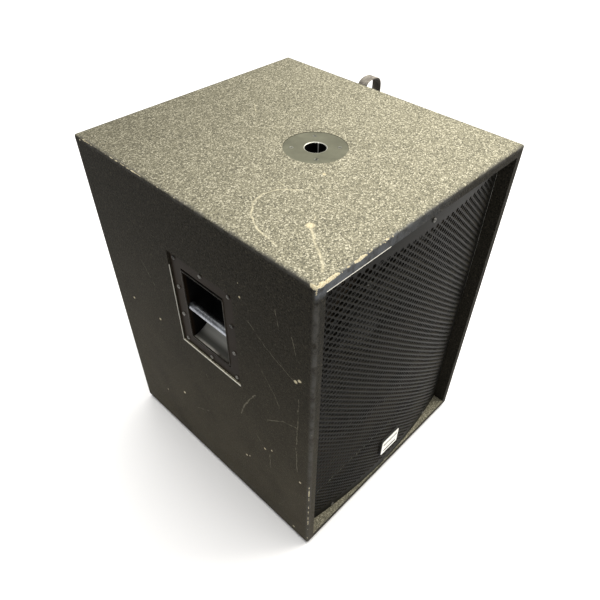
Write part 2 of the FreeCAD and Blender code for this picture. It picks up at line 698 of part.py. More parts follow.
bolts, bolt_holes, tees = [], [], []
for number in range(int(sizes["bolt_count"])):
    turn = 360 * (number + 0.5) / sizes["bolt_count"]
    at = round_axis("bolt_circle", FLANGE, turn)
    own = f"woofer_bolt_{number}"
    head = rod(own + "_head", "bolt_head", "bolt_head_tall", at, FORWARDS)
    key_at = ahead(at, FORWARDS, "bolt_head_tall / 2")
    key_hole = rod(own + "_key", "bolt_head / 2", "bolt_head_tall / 2", key_at, FORWARDS)
    shank_long = "frame_flange + baffle_panel + bolt_spare"
    shank = rod(own + "_shank", "bolt_radius - thread_gap", shank_long, at, BACKWARDS)
    bolts.append(cut(own, fuse(own + "_whole", head, shank), key_hole))
    hole_start = ahead(at, BACKWARDS, f"-{PAST}")
    hole = rod(own + "_hole", "bolt_radius + bolt_gap", f"{shank_long} + basket_lip", hole_start, BACKWARDS)
    bolt_holes.append(hole)
    tee_at = round_axis("bolt_circle", BAFFLE_BACK, turn)
    tee_front = ahead(tee_at, FORWARDS, "tee_long")
    thread_front = ahead(tee_at, FORWARDS, f"tee_long + {PAST}")
    flange = rod(own + "_tee_flange", "tee_flange", "tee_sheet", tee_at, BACKWARDS)
    barrel = rod(own + "_tee_barrel", "bolt_radius + bolt_gap - 0.2", "tee_long", tee_front, BACKWARDS)
    thread_long = f"tee_long + tee_sheet + 2 * {PAST}"
    thread = rod(own + "_tee_bore", "bolt_radius", thread_long, thread_front, BACKWARDS)
    tees.append(cut(own + "_tee", fuse(own + "_tee_whole", flange, barrel), thread))
bolt_drill = group("bolt_drill", bolt_holes)
throat_start = on_axis(f"{BAFFLE} - {PAST}")
throat_long = f"baffle_panel + 2 * {PAST}"
throat = rod("baffle_throat", "throat_radius + frame_gap", throat_long, throat_start, BACKWARDS)
baffle_sheet = block("baffle_sheet", ACROSS, (BAFFLE, BAFFLE_BACK), ("panel", CEILING))
part("front_baffle", cut("baffle_cut", baffle_sheet, throat, bolt_drill))
part("woofer_bolts", group("woofer_bolt_set", bolts))
part("woofer_tee_nuts", group("woofer_tee_set", tees))


basket_outside = taper(
    "basket_outside", "throat_radius", "seat_radius", "basket_deep", on_axis(BAFFLE), BACKWARDS
)


def woofer_frame():
    """Flange, slanting basket with windows, and the seat of the motor."""
    lip = "throat_radius - frame_wall - basket_lip"
    flange = ring("frame_flange_ring", "frame_radius", lip, "frame_flange", on_axis(FLANGE), BACKWARDS)
    inside = taper("basket_inside", "throat_radius - frame_wall", "seat_radius - frame_wall",
                   "basket_deep - frame_wall", on_axis(BAFFLE), BACKWARDS)
    hollow_start = on_axis(f"{FLANGE} - {PAST}")
    hollow = rod("basket_throat", lip, f"frame_flange + 2 * {PAST}", hollow_start, BACKWARDS)
    seat_hole = rod("basket_seat_hole", "spider_radius - spider_glue", "frame_wall * 3",
                    on_axis(f"{BAFFLE} + basket_deep - 2 * frame_wall"), BACKWARDS)
    step = rod("spider_step", "seat_radius", "frame_wall * 0.8",
               on_axis(f"{BAFFLE} + basket_deep - frame_wall"), BACKWARDS)
    windows = []
    for number in range(int(sizes["basket_windows"])):
        turn = 360 * (number + 0.5) / sizes["basket_windows"]
        window = doc.addObject("Part::Box", f"basket_window_{number}")
        bind(window, Length="seat_radius * window_share", Width="basket_deep * window_deep",
             Height="throat_radius")
        window.Placement = FreeCAD.Placement(V(), FreeCAD.Rotation(V(0, 1, 0), turn))
        sine, cosine = math.sin(math.radians(turn)), math.cos(math.radians(turn))
        half, near = "seat_radius * window_share / 2", "seat_radius * window_near"
        start_x = f"-{half} * {cosine:.6f} + {near} * {sine:.6f}"
        start_y = f"{BAFFLE} + basket_deep * window_start"
        start_z = f"woofer_height + {half} * {sine:.6f} + {near} * {cosine:.6f}"
        for letter, text in zip("xyz", (start_x, start_y, start_z)):
            window.setExpression("Placement.Base." + letter, rule(text))
        windows.append(window)
    whole = fuse("basket_whole", flange, cut("basket_shell", basket_outside, inside), step)
    return cut("basket_open", whole, hollow, seat_hole, group("basket_windows_set", windows), bolt_drill)


part("woofer_frame", woofer_frame())
gasket = ring("gasket_ring", "bolt_circle - bolt_head - 2", "surround_outer", "gasket_thick",
              on_axis(f"{FLANGE} - gasket_thick"), BACKWARDS)
part("woofer_gasket", gasket)


def half_roll():
    """The surround: a half roll between two flat lands, its crest towards the front."""
    middle = "(surround_outer + surround_inner) / 2 - surround_land / 2"
    roll = "(surround_outer - surround_inner) / 2 - surround_land / 2"
    torus = doc.addObject("Part::Torus", "roll_outside")
    bind(torus, Radius1=middle, Radius2=roll)
    place(torus, on_axis(FLANGE), BACKWARDS)
    hollow = doc.addObject("Part::Torus", "roll_inside")
    bind(hollow, Radius1=middle, Radius2=f"{roll} - surround_wall")
    place(hollow, on_axis(FLANGE), BACKWARDS)
    front_start = on_axis(f"{FLANGE} - surround_outer")
    front_half = rod("roll_front", "surround_outer", "surround_outer", front_start, BACKWARDS)
    crest = both("roll_crest", cut("roll_shell", torus, hollow), front_half)
    land_inner = f"{middle} + {roll} - surround_wall"
    land = ring("roll_outer_land", "surround_outer - skin_gap", land_inner, "surround_wall",
                on_axis(f"{FLANGE} - surround_wall - skin_gap"), BACKWARDS)
    return fuse("surround_roll", crest, land)


part("woofer_surround", half_roll())

# ---- the moving assembly: cone, dust cap and voice coil
CONE_BACK = f"({FLANGE} + cone_deep)"
COIL_OUT = "(coil_radius + coil_wall / 2)"
COIL_IN = "(coil_radius - coil_wall / 2)"
CONE_EDGE = "(surround_inner - cone_inset)"
PAPER_EDGE = f"({CONE_EDGE} - cone_wall * 1.5)"
cone_paper = cut(
    "cone_paper",
    taper("cone_outside", CONE_EDGE, COIL_OUT + " + cone_wall", "cone_deep", on_axis(FLANGE), BACKWARDS),
    taper("cone_hollow", PAPER_EDGE, COIL_OUT + " - 0.01", "cone_deep + 0.001",
          on_axis(f"{FLANGE} - 0.0005"), BACKWARDS),
)
part("woofer_cone", cone_paper)
MOTOR_TOP = f"({BAFFLE} + basket_deep)"
part("woofer_voice_coil", ring("coil_tube", COIL_OUT + " - 0.02", COIL_IN, "coil_long",
                               on_axis(f"{CONE_BACK} - 2"), BACKWARDS))
cap_ball = "(cap_radius / 0.8)"
cap_sink = "(cap_radius * 0.75)"
CAP_Y = f"({FLANGE} + cone_deep * ({PAPER_EDGE} - cap_radius - 0.1) / ({PAPER_EDGE} - {COIL_OUT}))"


def dust_cap():
    """A shallow dome: the slice of a hollow ball that stands in front of its rim."""
    outside = doc.addObject("Part::Sphere", "cap_outside")
    bind(outside, Radius=cap_ball)
    place(outside, on_axis(f"{CAP_Y} + {cap_sink}"))
    inside = doc.addObject("Part::Sphere", "cap_inside")
    bind(inside, Radius=f"{cap_ball} - cap_wall")
    place(inside, on_axis(f"{CAP_Y} + {cap_sink}"))
    slab = rod("cap_slab", "cap_radius + 1", "cap_radius", on_axis(f"{CAP_Y} - cap_radius"), BACKWARDS)
    return both("cap_dome", cut("cap_shell", outside, inside), slab)


part("woofer_dust_cap", dust_cap())

# ---- spider and motor
GAP_EDGE = COIL_OUT + " + coil_gap"
top_plate = ring("top_plate_ring", "plate_radius", GAP_EDGE, "plate_thick", on_axis(MOTOR_TOP), BACKWARDS)
part("woofer_top_plate", top_plate)
MAGNET_Y = f"({MOTOR_TOP} + plate_thick)"
MAGNET_EDGE = COIL_OUT + " + magnet_gap"
magnet = ring("magnet_ring", "magnet_radius", MAGNET_EDGE, "magnet_thick", on_axis(MAGNET_Y), BACKWARDS)
part("woofer_magnet", magnet)
YOKE_Y = f"({MAGNET_Y} + magnet_thick)"
yoke = fuse(
    "yoke_whole",
    rod("yoke_disc", "plate_radius", "plate_thick", on_axis(YOKE_Y), BACKWARDS),
    rod("yoke_pole", COIL_IN + " - coil_gap", "plate_thick + magnet_thick", on_axis(MOTOR_TOP), BACKWARDS),
)
vent_start = on_axis(f"{MOTOR_TOP} - {PAST}")
vent = rod("yoke_vent", "vent_radius", "plate_thick * 3 + magnet_thick", vent_start, BACKWARDS)
part("woofer_yoke", cut("yoke_vented", yoke, vent))
SPIDER_Y = f"({MOTOR_TOP} - frame_wall - spider_wall - skin_gap)"
SPIDER_EDGE = COIL_OUT + " + spider_gap"
spider = ring("spider_ring", "spider_radius", SPIDER_EDGE, "spider_wall", on_axis(SPIDER_Y), BACKWARDS)
part("woofer_spider", spider)
TERMINAL_BACK = f"({BAFFLE} + terminal_place + terminal_deep)"
TERMINAL_FOOT = "(woofer_height - terminal_low)"
terminal = block(
    "terminal_block", about("0", "terminal_wide"), (f"{BAFFLE} + terminal_place", TERMINAL_BACK),
    (TERMINAL_FOOT, f"{TERMINAL_FOOT} + terminal_tall"),
)
part("woofer_terminal", cut("terminal_seated", terminal, basket_outside))

# ---- the rear: connector dish with two sockets, and two ports
DISH_FACE = f"({BACK} + dish_plate)"
dish_rows = about("dish_height", "dish_tall")
dish_plate = block("dish_plate", about("0", "dish_wide"), (BACK, DISH_FACE), dish_rows)
dish_box = block(
    "dish_box",
    about("0", "dish_inner_wide", "dish_plate"),
    (f"{DISH_FACE} - dish_deep - dish_plate", BACK),
    about("dish_height", "dish_inner_tall", "dish_plate"),
)
dish_room = block(
    "dish_room", about("0", "dish_inner_wide"), (f"{DISH_FACE} - dish_deep", f"{DISH_FACE} + 1"),
    about("dish_height", "dish_inner_tall"),
)
SOCKET_Y = f"({DISH_FACE} - dish_deep)"
dish_signs = [(x, z) for x in (-1, 1) for z in (-1, 1)]
dish_places = [
    (f"{x} * (dish_wide / 2 - dish_screw)", DISH_FACE, f"dish_height + {z} * (dish_tall / 2 - dish_screw)")
    for x, z in dish_signs
]
dish_screws, dish_holes = wood_screws("dish_screw_set", dish_places, FORWARDS)
socket_holes = [
    rod(f"socket_hole_{side}", "socket_radius + thread_gap", "dish_plate * 3",
        (f"{side} * socket_side", f"{SOCKET_Y} - dish_plate * 2", "dish_height"), BACKWARDS)
    for side in (-1, 1)
]
dish_whole = fuse("dish_whole", dish_plate, dish_box)
part("rear_connector_dish", cut("dish_open", dish_whole, dish_room, dish_holes, *socket_holes))
part("rear_dish_screws", dish_screws)
for side, name in ((-1, "speaker_socket_link"), (1, "speaker_socket_in")):
    front = (f"{side} * socket_side", SOCKET_Y, "dish_height")
    inner = ahead(front, FORWARDS, "socket_long")
    floor_at = ahead(front, FORWARDS, "socket_long + socket_floor / 2")
    lip = ring(f"{name}_flange", "socket_radius + socket_lip", "socket_bore", "socket_lip_thick",
               front, BACKWARDS)
    barrel = ring(f"{name}_barrel", "socket_radius", "socket_bore", "socket_long", inner, BACKWARDS)
    floor = rod(f"{name}_floor", "socket_radius", "socket_floor", floor_at, BACKWARDS)
    part(name, fuse(f"{name}_whole", lip, barrel, floor))
dish_hole = block(
    "dish_hole",
    about("0", "dish_inner_wide", "dish_plate + skin_gap"),
    (f"{BACK_INSIDE} - {PAST}", f"{BACK} + {PAST}"),
    about("dish_height", "dish_inner_tall", "dish_plate + skin_gap"),
)
port_holes = []
for side, name in ((-1, "port_tube_left"), (1, "port_tube_right")):
    centre_x = f"{side} * port_side"
    lip_at = (centre_x, BACK, "port_height")
    lip = rod(f"{name}_flange", "port_flange", "port_flange_thick", lip_at, BACKWARDS)
    tube = rod(f"{name}_tube", "port_radius + port_wall", "port_long - port_flange_thick",
               (centre_x, f"{BACK} + port_flange_thick - port_long", "port_height"), BACKWARDS)
    bore = rod(f"{name}_bore", "port_radius", "port_long + 4",
               (centre_x, f"{BACK} + port_flange_thick - port_long - 2", "port_height"), BACKWARDS)
    flare_deep = "port_flange_thick * 1.5"
    flare_at = (centre_x, f"{BACK} - port_flange_thick / 2 + 0.01", "port_height")
    flare = taper(f"{name}_flare", "port_radius", f"port_radius + {flare_deep}", flare_deep,
                  flare_at, BACKWARDS)
    part(name, cut(f"{name}_open", fuse(f"{name}_whole", lip, tube), bore, flare))
    port_holes.append(rod(f"{name}_panel_hole", "port_radius + port_wall + skin_gap", "panel + 2",
                          (centre_x, f"{BACK_INSIDE} - 1", "port_height"), BACKWARDS))
part("back_panel", cut("back_cut", back_blank, dish_hole, dish_holes, *port_holes))

# ---- feet under the bottom
foot_solids = []
foot_places = []
for number, (x, y) in enumerate(corner_signs):
    centre = (f"{x} * ({SIDE} - foot_inset)", f"{y} * ({BACK} - foot_inset)")
    foot_end = "foot_radius * foot_taper"
    rubber = taper(f"foot_{number}_rubber", "foot_radius", foot_end, "foot_tall", (*centre, "0"), DOWN)
    half_down = (*centre, "-foot_tall / 2")
    room = rod(f"foot_{number}_room", "screw_head + foot_room", "foot_tall", half_down, DOWN)
    foot_solids.append(cut(f"foot_{number}", rubber, room))
    foot_places.append((*centre, "-foot_tall / 2"))
foot_screws, foot_holes = wood_screws("foot_screw_set", foot_places, UP, "foot_tall / 2 + foot_screw")
part("rubber_feet", cut("feet_drilled", group("feet_blanks", foot_solids), foot_holes))
part("feet_screws", foot_screws)
part("bottom_panel", cut("bottom_cut", bottom_blank, foot_holes))
part("top_panel", cut("top_cut", top_blank, flange_seat, tube_hole, pole_drill))

# ---- inside: window brace, corner blocks and damping felt
brace = block("brace_sheet", ACROSS, ("brace_place", "brace_place + brace_panel"), ("panel", CEILING))
brace_window = block(
    "brace_window",
    (f"-{INNER} + brace_border", f"{INNER} - brace_border"),
    (f"brace_place - {PAST}", f"brace_place + brace_panel + {PAST}"),
    ("panel + brace_border", f"{CEILING} - brace_border"),
)
part("window_brace", cut("brace_open", brace, brace_window))
blocks = [
    block(
        f"corner_block_{number}",
        (f"{x} * {INNER} - ({x} + 1) / 2 * batten_tall", f"{x} * {INNER} + (1 - {x}) / 2 * batten_tall"),
        (f"{BACK_INSIDE} - batten_tall", BACK_INSIDE),
        ("panel", CEILING),
    )
    for number, x in enumerate((-1, 1))
]
part("corner_blocks", group("corner_block_set", blocks))
felt = block(
    "felt_floor", (f"-{INNER} + batten_tall + lining_gap", f"{INNER} - batten_tall - lining_gap"),
    ("brace_place + brace_panel + lining_gap", f"{BACK_INSIDE} - batten_tall - lining_gap"),
    ("panel", "panel + lining"),
)
part("damping_felt", felt)


# ---- the cable from the input socket to the woofer: straight runs joined by tangent arcs
def cable_route():
    """The cable's corners, from the back of the input socket to the back of the terminal block."""
    start_y = (sizes["cab_depth"] / 2 + sizes["dish_plate"] - sizes["dish_deep"]
               - sizes["socket_long"] - sizes["socket_floor"] - sizes["tail_gap"])
    end_y = (-sizes["cab_depth"] / 2 + sizes["baffle_setback"] + sizes["terminal_place"]
             + sizes["terminal_deep"])
    end_z = sizes["woofer_height"] - sizes["terminal_low"] + sizes["terminal_tall"] / 2
    side, start_z = sizes["socket_side"], sizes["dish_height"]
    return [
        V(side, start_y, start_z), V(side, 186, start_z), V(22, 128, 178), V(15, 64, 160),
        V(9, 0, 160), V(4, -56, 186), V(0, -104, end_z), V(0, end_y, end_z),
    ]


def rounded_path(points, share=0.45):
    """Edges along the corners, each corner rounded by an arc as large as its runs allow."""
    edges, last, radii = [], points[0], []
    for before, corner, after in zip(points, points[1:], points[2:]):
        back, on = (before - corner), (after - corner)
        reach = share * min(back.Length, on.Length)
        back.normalize()
        on.normalize()
        turn = math.pi - back.getAngle(on)
        radii.append(reach / math.tan(turn / 2))
        first, final = corner + back * reach, corner + on * reach
        inward = (back + on).normalize()
        rise = radii[-1] / math.cos(turn / 2) - radii[-1]
        edges.append(Part.makeLine(last, first))
        edges.append(Part.Arc(first, corner + inward * rise, final).toShape())
        last = final
    edges.append(Part.makeLine(last, points[-1]))
    return edges, radii


route = cable_route()
path_edges, bend_radii = rounded_path(route)
cable_path = Part.Wire(path_edges)
round_end = Part.Wire(Part.makeCircle(sizes["cable_radius"], route[0], route[1] - route[0]))
cable = doc.addObject("Part::Feature", "cable_tube")
cable.Shape = cable_path.makePipeShell([round_end], True, False)
expected = math.pi * sizes["cable_radius"] ** 2 * cable_path.Length
print(f"cable {cable_path.Length:.0f} long, smallest bend {min(bend_radii):.0f}, "
      f"volume {cable.Shape.Volume:.0f} for {expected:.0f}")
part("speaker_cable", cable)

doc.recompute()
failed = [item.Name for item in doc.Objects if {"Invalid", "Error"} & set(item.State)]
for name, piece in parts.items():
    if piece.Shape.isNull() or not piece.Shape.isValid() or not piece.Shape.Solids:
        failed.append(name)
if failed:
    raise SystemExit("these failed: " + ", ".join(sorted(set(failed))))
os.makedirs("parts", exist_ok=True)
for name, piece in parts.items():
    piece.Shape.exportStep(f"parts/{name}.step")
    box = piece.Shape.BoundBox
    solids = len(piece.Shape.Solids)
    print(f"{name}: {solids} solids, {box.XLength:.1f} x {box.YLength:.1f} x {box.ZLength:.1f}")
print(len(parts), "nodes")
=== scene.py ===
# %% [markdown]
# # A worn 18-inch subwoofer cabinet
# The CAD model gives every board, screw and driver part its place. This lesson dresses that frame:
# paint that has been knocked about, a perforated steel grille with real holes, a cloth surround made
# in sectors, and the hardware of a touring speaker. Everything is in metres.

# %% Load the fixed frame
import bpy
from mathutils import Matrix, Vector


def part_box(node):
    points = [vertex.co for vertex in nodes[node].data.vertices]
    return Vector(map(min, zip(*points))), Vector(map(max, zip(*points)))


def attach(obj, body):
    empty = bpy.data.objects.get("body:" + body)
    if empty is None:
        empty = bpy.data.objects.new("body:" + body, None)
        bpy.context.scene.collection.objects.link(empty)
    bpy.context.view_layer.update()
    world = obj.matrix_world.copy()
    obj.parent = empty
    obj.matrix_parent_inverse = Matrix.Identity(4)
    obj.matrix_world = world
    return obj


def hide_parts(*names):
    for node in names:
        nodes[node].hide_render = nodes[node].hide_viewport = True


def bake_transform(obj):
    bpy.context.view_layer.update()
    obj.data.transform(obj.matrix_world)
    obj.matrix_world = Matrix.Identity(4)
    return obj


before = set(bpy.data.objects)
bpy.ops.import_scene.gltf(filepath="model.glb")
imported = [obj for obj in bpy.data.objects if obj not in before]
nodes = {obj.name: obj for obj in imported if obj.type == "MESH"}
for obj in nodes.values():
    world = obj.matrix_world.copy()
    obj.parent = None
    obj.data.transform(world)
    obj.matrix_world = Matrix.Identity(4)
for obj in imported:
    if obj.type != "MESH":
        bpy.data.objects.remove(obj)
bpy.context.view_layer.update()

import math
import random

import bmesh
import bpy
from mathutils import Matrix, Vector, noise

chance = random.Random(18)

# %% [markdown]
# The five outer boards make one box. Wear gathers on a box's edges, so the later finishes need to
# know how far a point is from them; the box comes from the boards themselves.

# %% Measure the shell
SHELL_BOARDS = ("top_panel", "bottom_panel", "left_side_panel", "right_side_panel", "back_panel")


def whole_box(names):
    """Lowest and highest corner of several CAD nodes together."""
    boxes = [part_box(name) for name in names]
    low = Vector([min(box[0][axis] for box in boxes) for axis in range(3)])
    high = Vector([max(box[1][axis] for box in boxes) for axis in range(3)])
    return low, high


SHELL_LOW, SHELL_HIGH = whole_box(SHELL_BOARDS)
SHELL_MIDDLE = (SHELL_LOW + SHELL_HIGH) / 2
SHELL_HALF = (SHELL_HIGH - SHELL_LOW) / 2
LEFT, RIGHT = SHELL_LOW.x, SHELL_HIGH.x
FRONT, BACK = SHELL_LOW.y, SHELL_HIGH.y
TOP = SHELL_HIGH.z
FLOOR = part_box("rubber_feet")[0].z
print("shell", [round(1000 * side) for side in 2 * SHELL_HALF], "mm")

# %% [markdown]
# ## Camera, floor and light
# A short lens close above the front left corner makes the sides taper strongly towards the floor.
# The small shifts only put the picture's middle where it belongs.

# %% Camera
scene = bpy.context.scene


def put_in_scene(name, data):
    """Links a new object that carries a mesh, a lamp, a curve or a camera."""
    made = bpy.data.objects.new(name, data)
    scene.collection.objects.link(made)
    return made


camera_data = bpy.data.cameras.new("camera")
camera_data.lens = 33.31
camera_data.shift_x, camera_data.shift_y = -0.00625, 0.0307
camera_data.clip_start, camera_data.clip_end = 0.01, 50
camera = put_in_scene("camera", camera_data)
camera.location = (-0.6383, -0.6193, 1.1609)
camera.rotation_euler = [math.radians(turn) for turn in (45.515, -0.695, -46.106)]
scene.camera = camera
scene.view_settings.view_transform = "Standard"
print("camera", round((camera.location - SHELL_MIDDLE).length, 2), "m from the middle of the cabinet")

# %% [markdown]
# A wide, soft skylight right over the cabinet lights its top strongly, while the upright faces see
# only the floor and the dim room, and the shadow stays short. A weaker softbox stands on the right.

# %% Lights
side_data = bpy.data.lights.new("side_softbox", "AREA")
side_data.size, side_data.energy, side_data.color = 1.4, 56, (1.0, 0.95, 0.84)
side_softbox = put_in_scene("side_softbox", side_data)
side_softbox.location = (1.5, -0.9, 2.3)
aim = Vector((0, 0, 0.3)) - side_softbox.location
side_softbox.rotation_euler = aim.to_track_quat("-Z", "Y").to_euler()

skylight_data = bpy.data.lights.new("skylight", "SUN")
skylight_data.energy, skylight_data.color = 4.3, (1.0, 0.975, 0.90)
skylight_data.angle = math.radians(60)
skylight = put_in_scene("skylight", skylight_data)
skylight.rotation_euler = (math.radians(-3), math.radians(6), 0)

world = bpy.data.worlds.new("room")
scene.world = world
world.use_nodes = True
room = world.node_tree.nodes["Background"].inputs
room["Color"].default_value = (0.95, 0.97, 0.96, 1)
room["Strength"].default_value = 0.26
print("lamps", side_softbox.name, skylight.name)

# %% [markdown]
# ## How a finish is built
# Every finish is a small graph of nodes. A few short helpers keep the graphs readable: one adds a
# node, one does sums, one mixes two colours, and one turns a noise into a soft or hard mask.
# Object coordinates are CAD metres here, so patterns have their real scale.

# %% A material and its fields
def finish(name, metal=0.0, specular=0.5, ior=1.5):
    """A new material with its even values set on the shader itself."""
    material = bpy.data.materials.new(name)
    material.use_nodes = True
    shader = material.node_tree.nodes["Principled BSDF"]
    shader.inputs["Metallic"].default_value = metal
    shader.inputs["Specular IOR Level"].default_value = specular
    shader.inputs["IOR"].default_value = ior
    return material


class Field:
    """A value that varies over a surface. Sums of fields are written like sums of numbers."""

    def __init__(self, material, socket):
        self.material = material
        self.socket = socket

    def __add__(self, other):
        return calc("ADD", self, other)

    def __radd__(self, other):
        return calc("ADD", other, self)

    def __sub__(self, other):
        return calc("SUBTRACT", self, other)

    def __rsub__(self, other):
        return calc("SUBTRACT", other, self)

    def __mul__(self, other):
        return calc("MULTIPLY", self, other)

    def __truediv__(self, other):
        return calc("DIVIDE", self, other)


# %% [markdown]
# A node is made, set and fed in one call. Most nodes are wanted for one output only, so a second
# helper returns that output as a field.

# %% Add nodes
def feed(socket, value):
    """Links a field to a socket, or sets a plain value on it."""
    if isinstance(value, Field):
        value.material.node_tree.links.new(value.socket, socket)
    else:
        socket.default_value = value


def node(material, kind, inputs, **settings):
    """A new node with its settings made and its inputs fed."""
    made = material.node_tree.nodes.new("ShaderNode" + kind)
    for key, value in settings.items():
        setattr(made, key, value)
    for socket, value in inputs.items():
        feed(made.inputs[socket], value)
    return made


def add(material, kind, inputs={}, output=0, **settings):
    """A new node, given as the field of one of its outputs."""
    return Field(material, node(material, kind, inputs, **settings).outputs[output])


def material_of(values):
    """The material that the first field among some values belongs to."""
    return next(value.material for value in values if isinstance(value, Field))


# %% [markdown]
# Sums, vector sums, colour mixes and masks cover nearly everything a finish needs. A mask is 0 on
# one side of a range, 1 on the other, and smooth between, so no stain or chip has a jagged edge.

# %% Sums, mixes and masks
def calc(operation, *values, clamp=False):
    """One sum of fields and numbers."""
    return add(material_of(values), "Math", dict(enumerate(values)), operation=operation, use_clamp=clamp)


def vector(operation, *values):
    """One vector sum; a length or a dot product gives a plain field."""
    output = "Value" if operation in ("LENGTH", "DOT_PRODUCT") else "Vector"
    return add(material_of(values), "VectorMath", dict(enumerate(values)), output, operation=operation)


def scaled(field, factor):
    """A vector field made longer or shorter."""
    return add(field.material, "VectorMath", {0: field, "Scale": factor}, operation="SCALE")


def split(field):
    """The x, y and z of a vector field."""
    parts = node(field.material, "SeparateXYZ", {0: field})
    return [Field(field.material, socket) for socket in parts.outputs]


def colour_mix(share, one, other):
    """one where share is 0 and other where it is 1."""
    colours = [colour if isinstance(colour, Field) else (*colour, 1) for colour in (one, other)]
    inputs = {0: share, 6: colours[0], 7: colours[1]}
    return add(material_of((share, one, other)), "Mix", inputs, 2, data_type="RGBA")


def mask(value, start, end):
    """0 at start, 1 at end, smooth between; start may be the larger one."""
    steps = {0: value, 1: start, 2: end, 3: 0.0, 4: 1.0}
    return add(value.material, "MapRange", steps, interpolation_type="SMOOTHSTEP")


# %% [markdown]
# Patterns come from three sources: where a point is, which way the surface faces there, and noise.
# Last, one function hands the finished pattern to the shader, as colour, roughness and bump.

# %% Places and patterns
def place_of(material):
    """Where a point is, in metres."""
    return add(material, "TexCoord", output="Object")


def facing_up(material):
    """1 on a level face that looks up, 0 on an upright one."""
    return split(add(material, "NewGeometry", output="Normal"))[2]


def mottle(place, scale, detail=3.0, rough=0.55):
    """Cloudy noise about 0.5, with lumps 1/scale metres across."""
    inputs = {"Vector": place, "Scale": scale, "Detail": detail, "Roughness": rough}
    return add(place.material, "TexNoise", inputs)


def pebbles(place, scale):
    """Distance from the middle of the nearest grain."""
    inputs = {"Vector": place, "Scale": scale}
    return add(place.material, "TexVoronoi", inputs, "Distance", feature="SMOOTH_F1")


def wear_surface(material, colour, roughness, height, depth):
    """Gives the shader its colour, its roughness and a bump whose height is measured in metres."""
    shader = material.node_tree.nodes["Principled BSDF"]
    feed(shader.inputs["Base Color"], colour)
    feed(shader.inputs["Roughness"], roughness)
    bump = add(material, "Bump", {"Height": height, "Distance": depth, "Strength": 1.0})
    feed(shader.inputs["Normal"], bump)
    return material


# %% [markdown]
# The floor is a plain pale sheet at the height of the feet. It is only there to catch the shadow and
# does not belong to the cabinet.

# %% Floor
def mesh_of(name, points, faces):
    """A mesh from lists of points and of faces."""
    mesh = bpy.data.meshes.new(name)
    mesh.from_pydata(points, [], faces)
    return mesh


REACH = 9.0
corners = [(x * REACH, y * REACH, FLOOR) for x, y in ((-1, -1), (1, -1), (1, 1), (-1, 1))]
studio_floor = put_in_scene("studio_floor", mesh_of("studio_floor", corners, [(0, 1, 2, 3)]))
pale_floor = finish("pale_floor", specular=0.1)
floor_cloud = mottle(place_of(pale_floor), 0.8)
floor_colour = colour_mix(floor_cloud, (0.84, 0.845, 0.890), (0.86, 0.865, 0.905))
studio_floor.data.materials.append(wear_surface(pale_floor, floor_colour, 0.9, floor_cloud, 0.0001))
print("floor at", round(FLOOR, 4))

# %% [markdown]
# ## Cabinet paint
# A touring cabinet is sprayed with thick, pebbled black paint. Dust settles on what faces up, and it
# also carries painted light on the top; the lower sides get painted bounce light from the floor, and the
# front edge of the top a painted highlight. The edges are worn grey, and knocks break through to pale
# wood. Chips follow the real edges: a point's distance to the nearest edge is the middle one of its
# three distances to the box's faces.

# %% Distance to an edge
def edge_distance(place):
    """How far a point of the shell is from the shell's nearest edge."""
    offset = vector("ABSOLUTE", vector("SUBTRACT", place, SHELL_MIDDLE))
    inward = vector("SUBTRACT", tuple(SHELL_HALF), offset)
    x, y, z = split(inward)
    lesser = calc("MINIMUM", x, y)
    greater = calc("MAXIMUM", x, y)
    return calc("MAXIMUM", lesser, calc("MINIMUM", greater, z))


# %% [markdown]
# A scratch is the set of points near a line between two ends. The sum for it is made once, as a
# group, and every mark on the cabinet uses that group with its own ends and width.

# %% One scratch
def scratch_group():
    """A node group: 1 on the line between two points, fading out at its width."""
    group = bpy.data.node_groups.new("scratch_line", "ShaderNodeTree")
    for name, kind in (("Place", "Vector"), ("From", "Vector"), ("To", "Vector"), ("Width", "Float")):
        group.interface.new_socket(name, in_out="INPUT", socket_type="NodeSocket" + kind)
    group.interface.new_socket("Mask", in_out="OUTPUT", socket_type="NodeSocketFloat")
    ends = group.nodes.new("NodeGroupInput"), group.nodes.new("NodeGroupOutput")

    class Holder:
        node_tree = group

    place, start, end, width = (Field(Holder, socket) for socket in ends[0].outputs[:4])
    along = vector("SUBTRACT", end, start)
    reach = vector("SUBTRACT", place, start)
    part_way = vector("DOT_PRODUCT", reach, along)
    share = calc("DIVIDE", part_way, vector("DOT_PRODUCT", along, along), clamp=True)
    nearest = scaled(along, share)
    away = vector("LENGTH", vector("SUBTRACT", reach, nearest))
    line = mask(away / width, 1.0, 0.35)
    feed(ends[1].inputs[0], line)
    return group


SCRATCH = scratch_group()


def any_of(masks):
    """The largest of several masks."""
    total = masks[0]
    for other in masks[1:]:
        total = calc("MAXIMUM", total, other)
    return total


def scratches(place, lines):
    """Lines is a list of (width, points); each run between two points becomes one soft line."""
    masks = []
    for width, points in lines:
        for start, end in zip(points, points[1:]):
            inputs = dict(enumerate((place, start, end, width)))
            masks.append(add(place.material, "Group", inputs, node_tree=SCRATCH))
    return any_of(masks)


# %% [markdown]
# The marks are listed board by board, in the CAD's own coordinates: long scratches are chains of
# straight runs, and a chip is a very short wide line. A little noise bends them all, so none looks ruled.

# %% Scratches of the left side
def on_left(*points):
    return [(LEFT, y, z) for y, z in points]


def on_top(*points):
    return [(x, y, TOP) for x, y in points]


def chip(size, point):
    return size, [point, (point[0] + 0.001, point[1] + 0.001, point[2] - 0.001)]


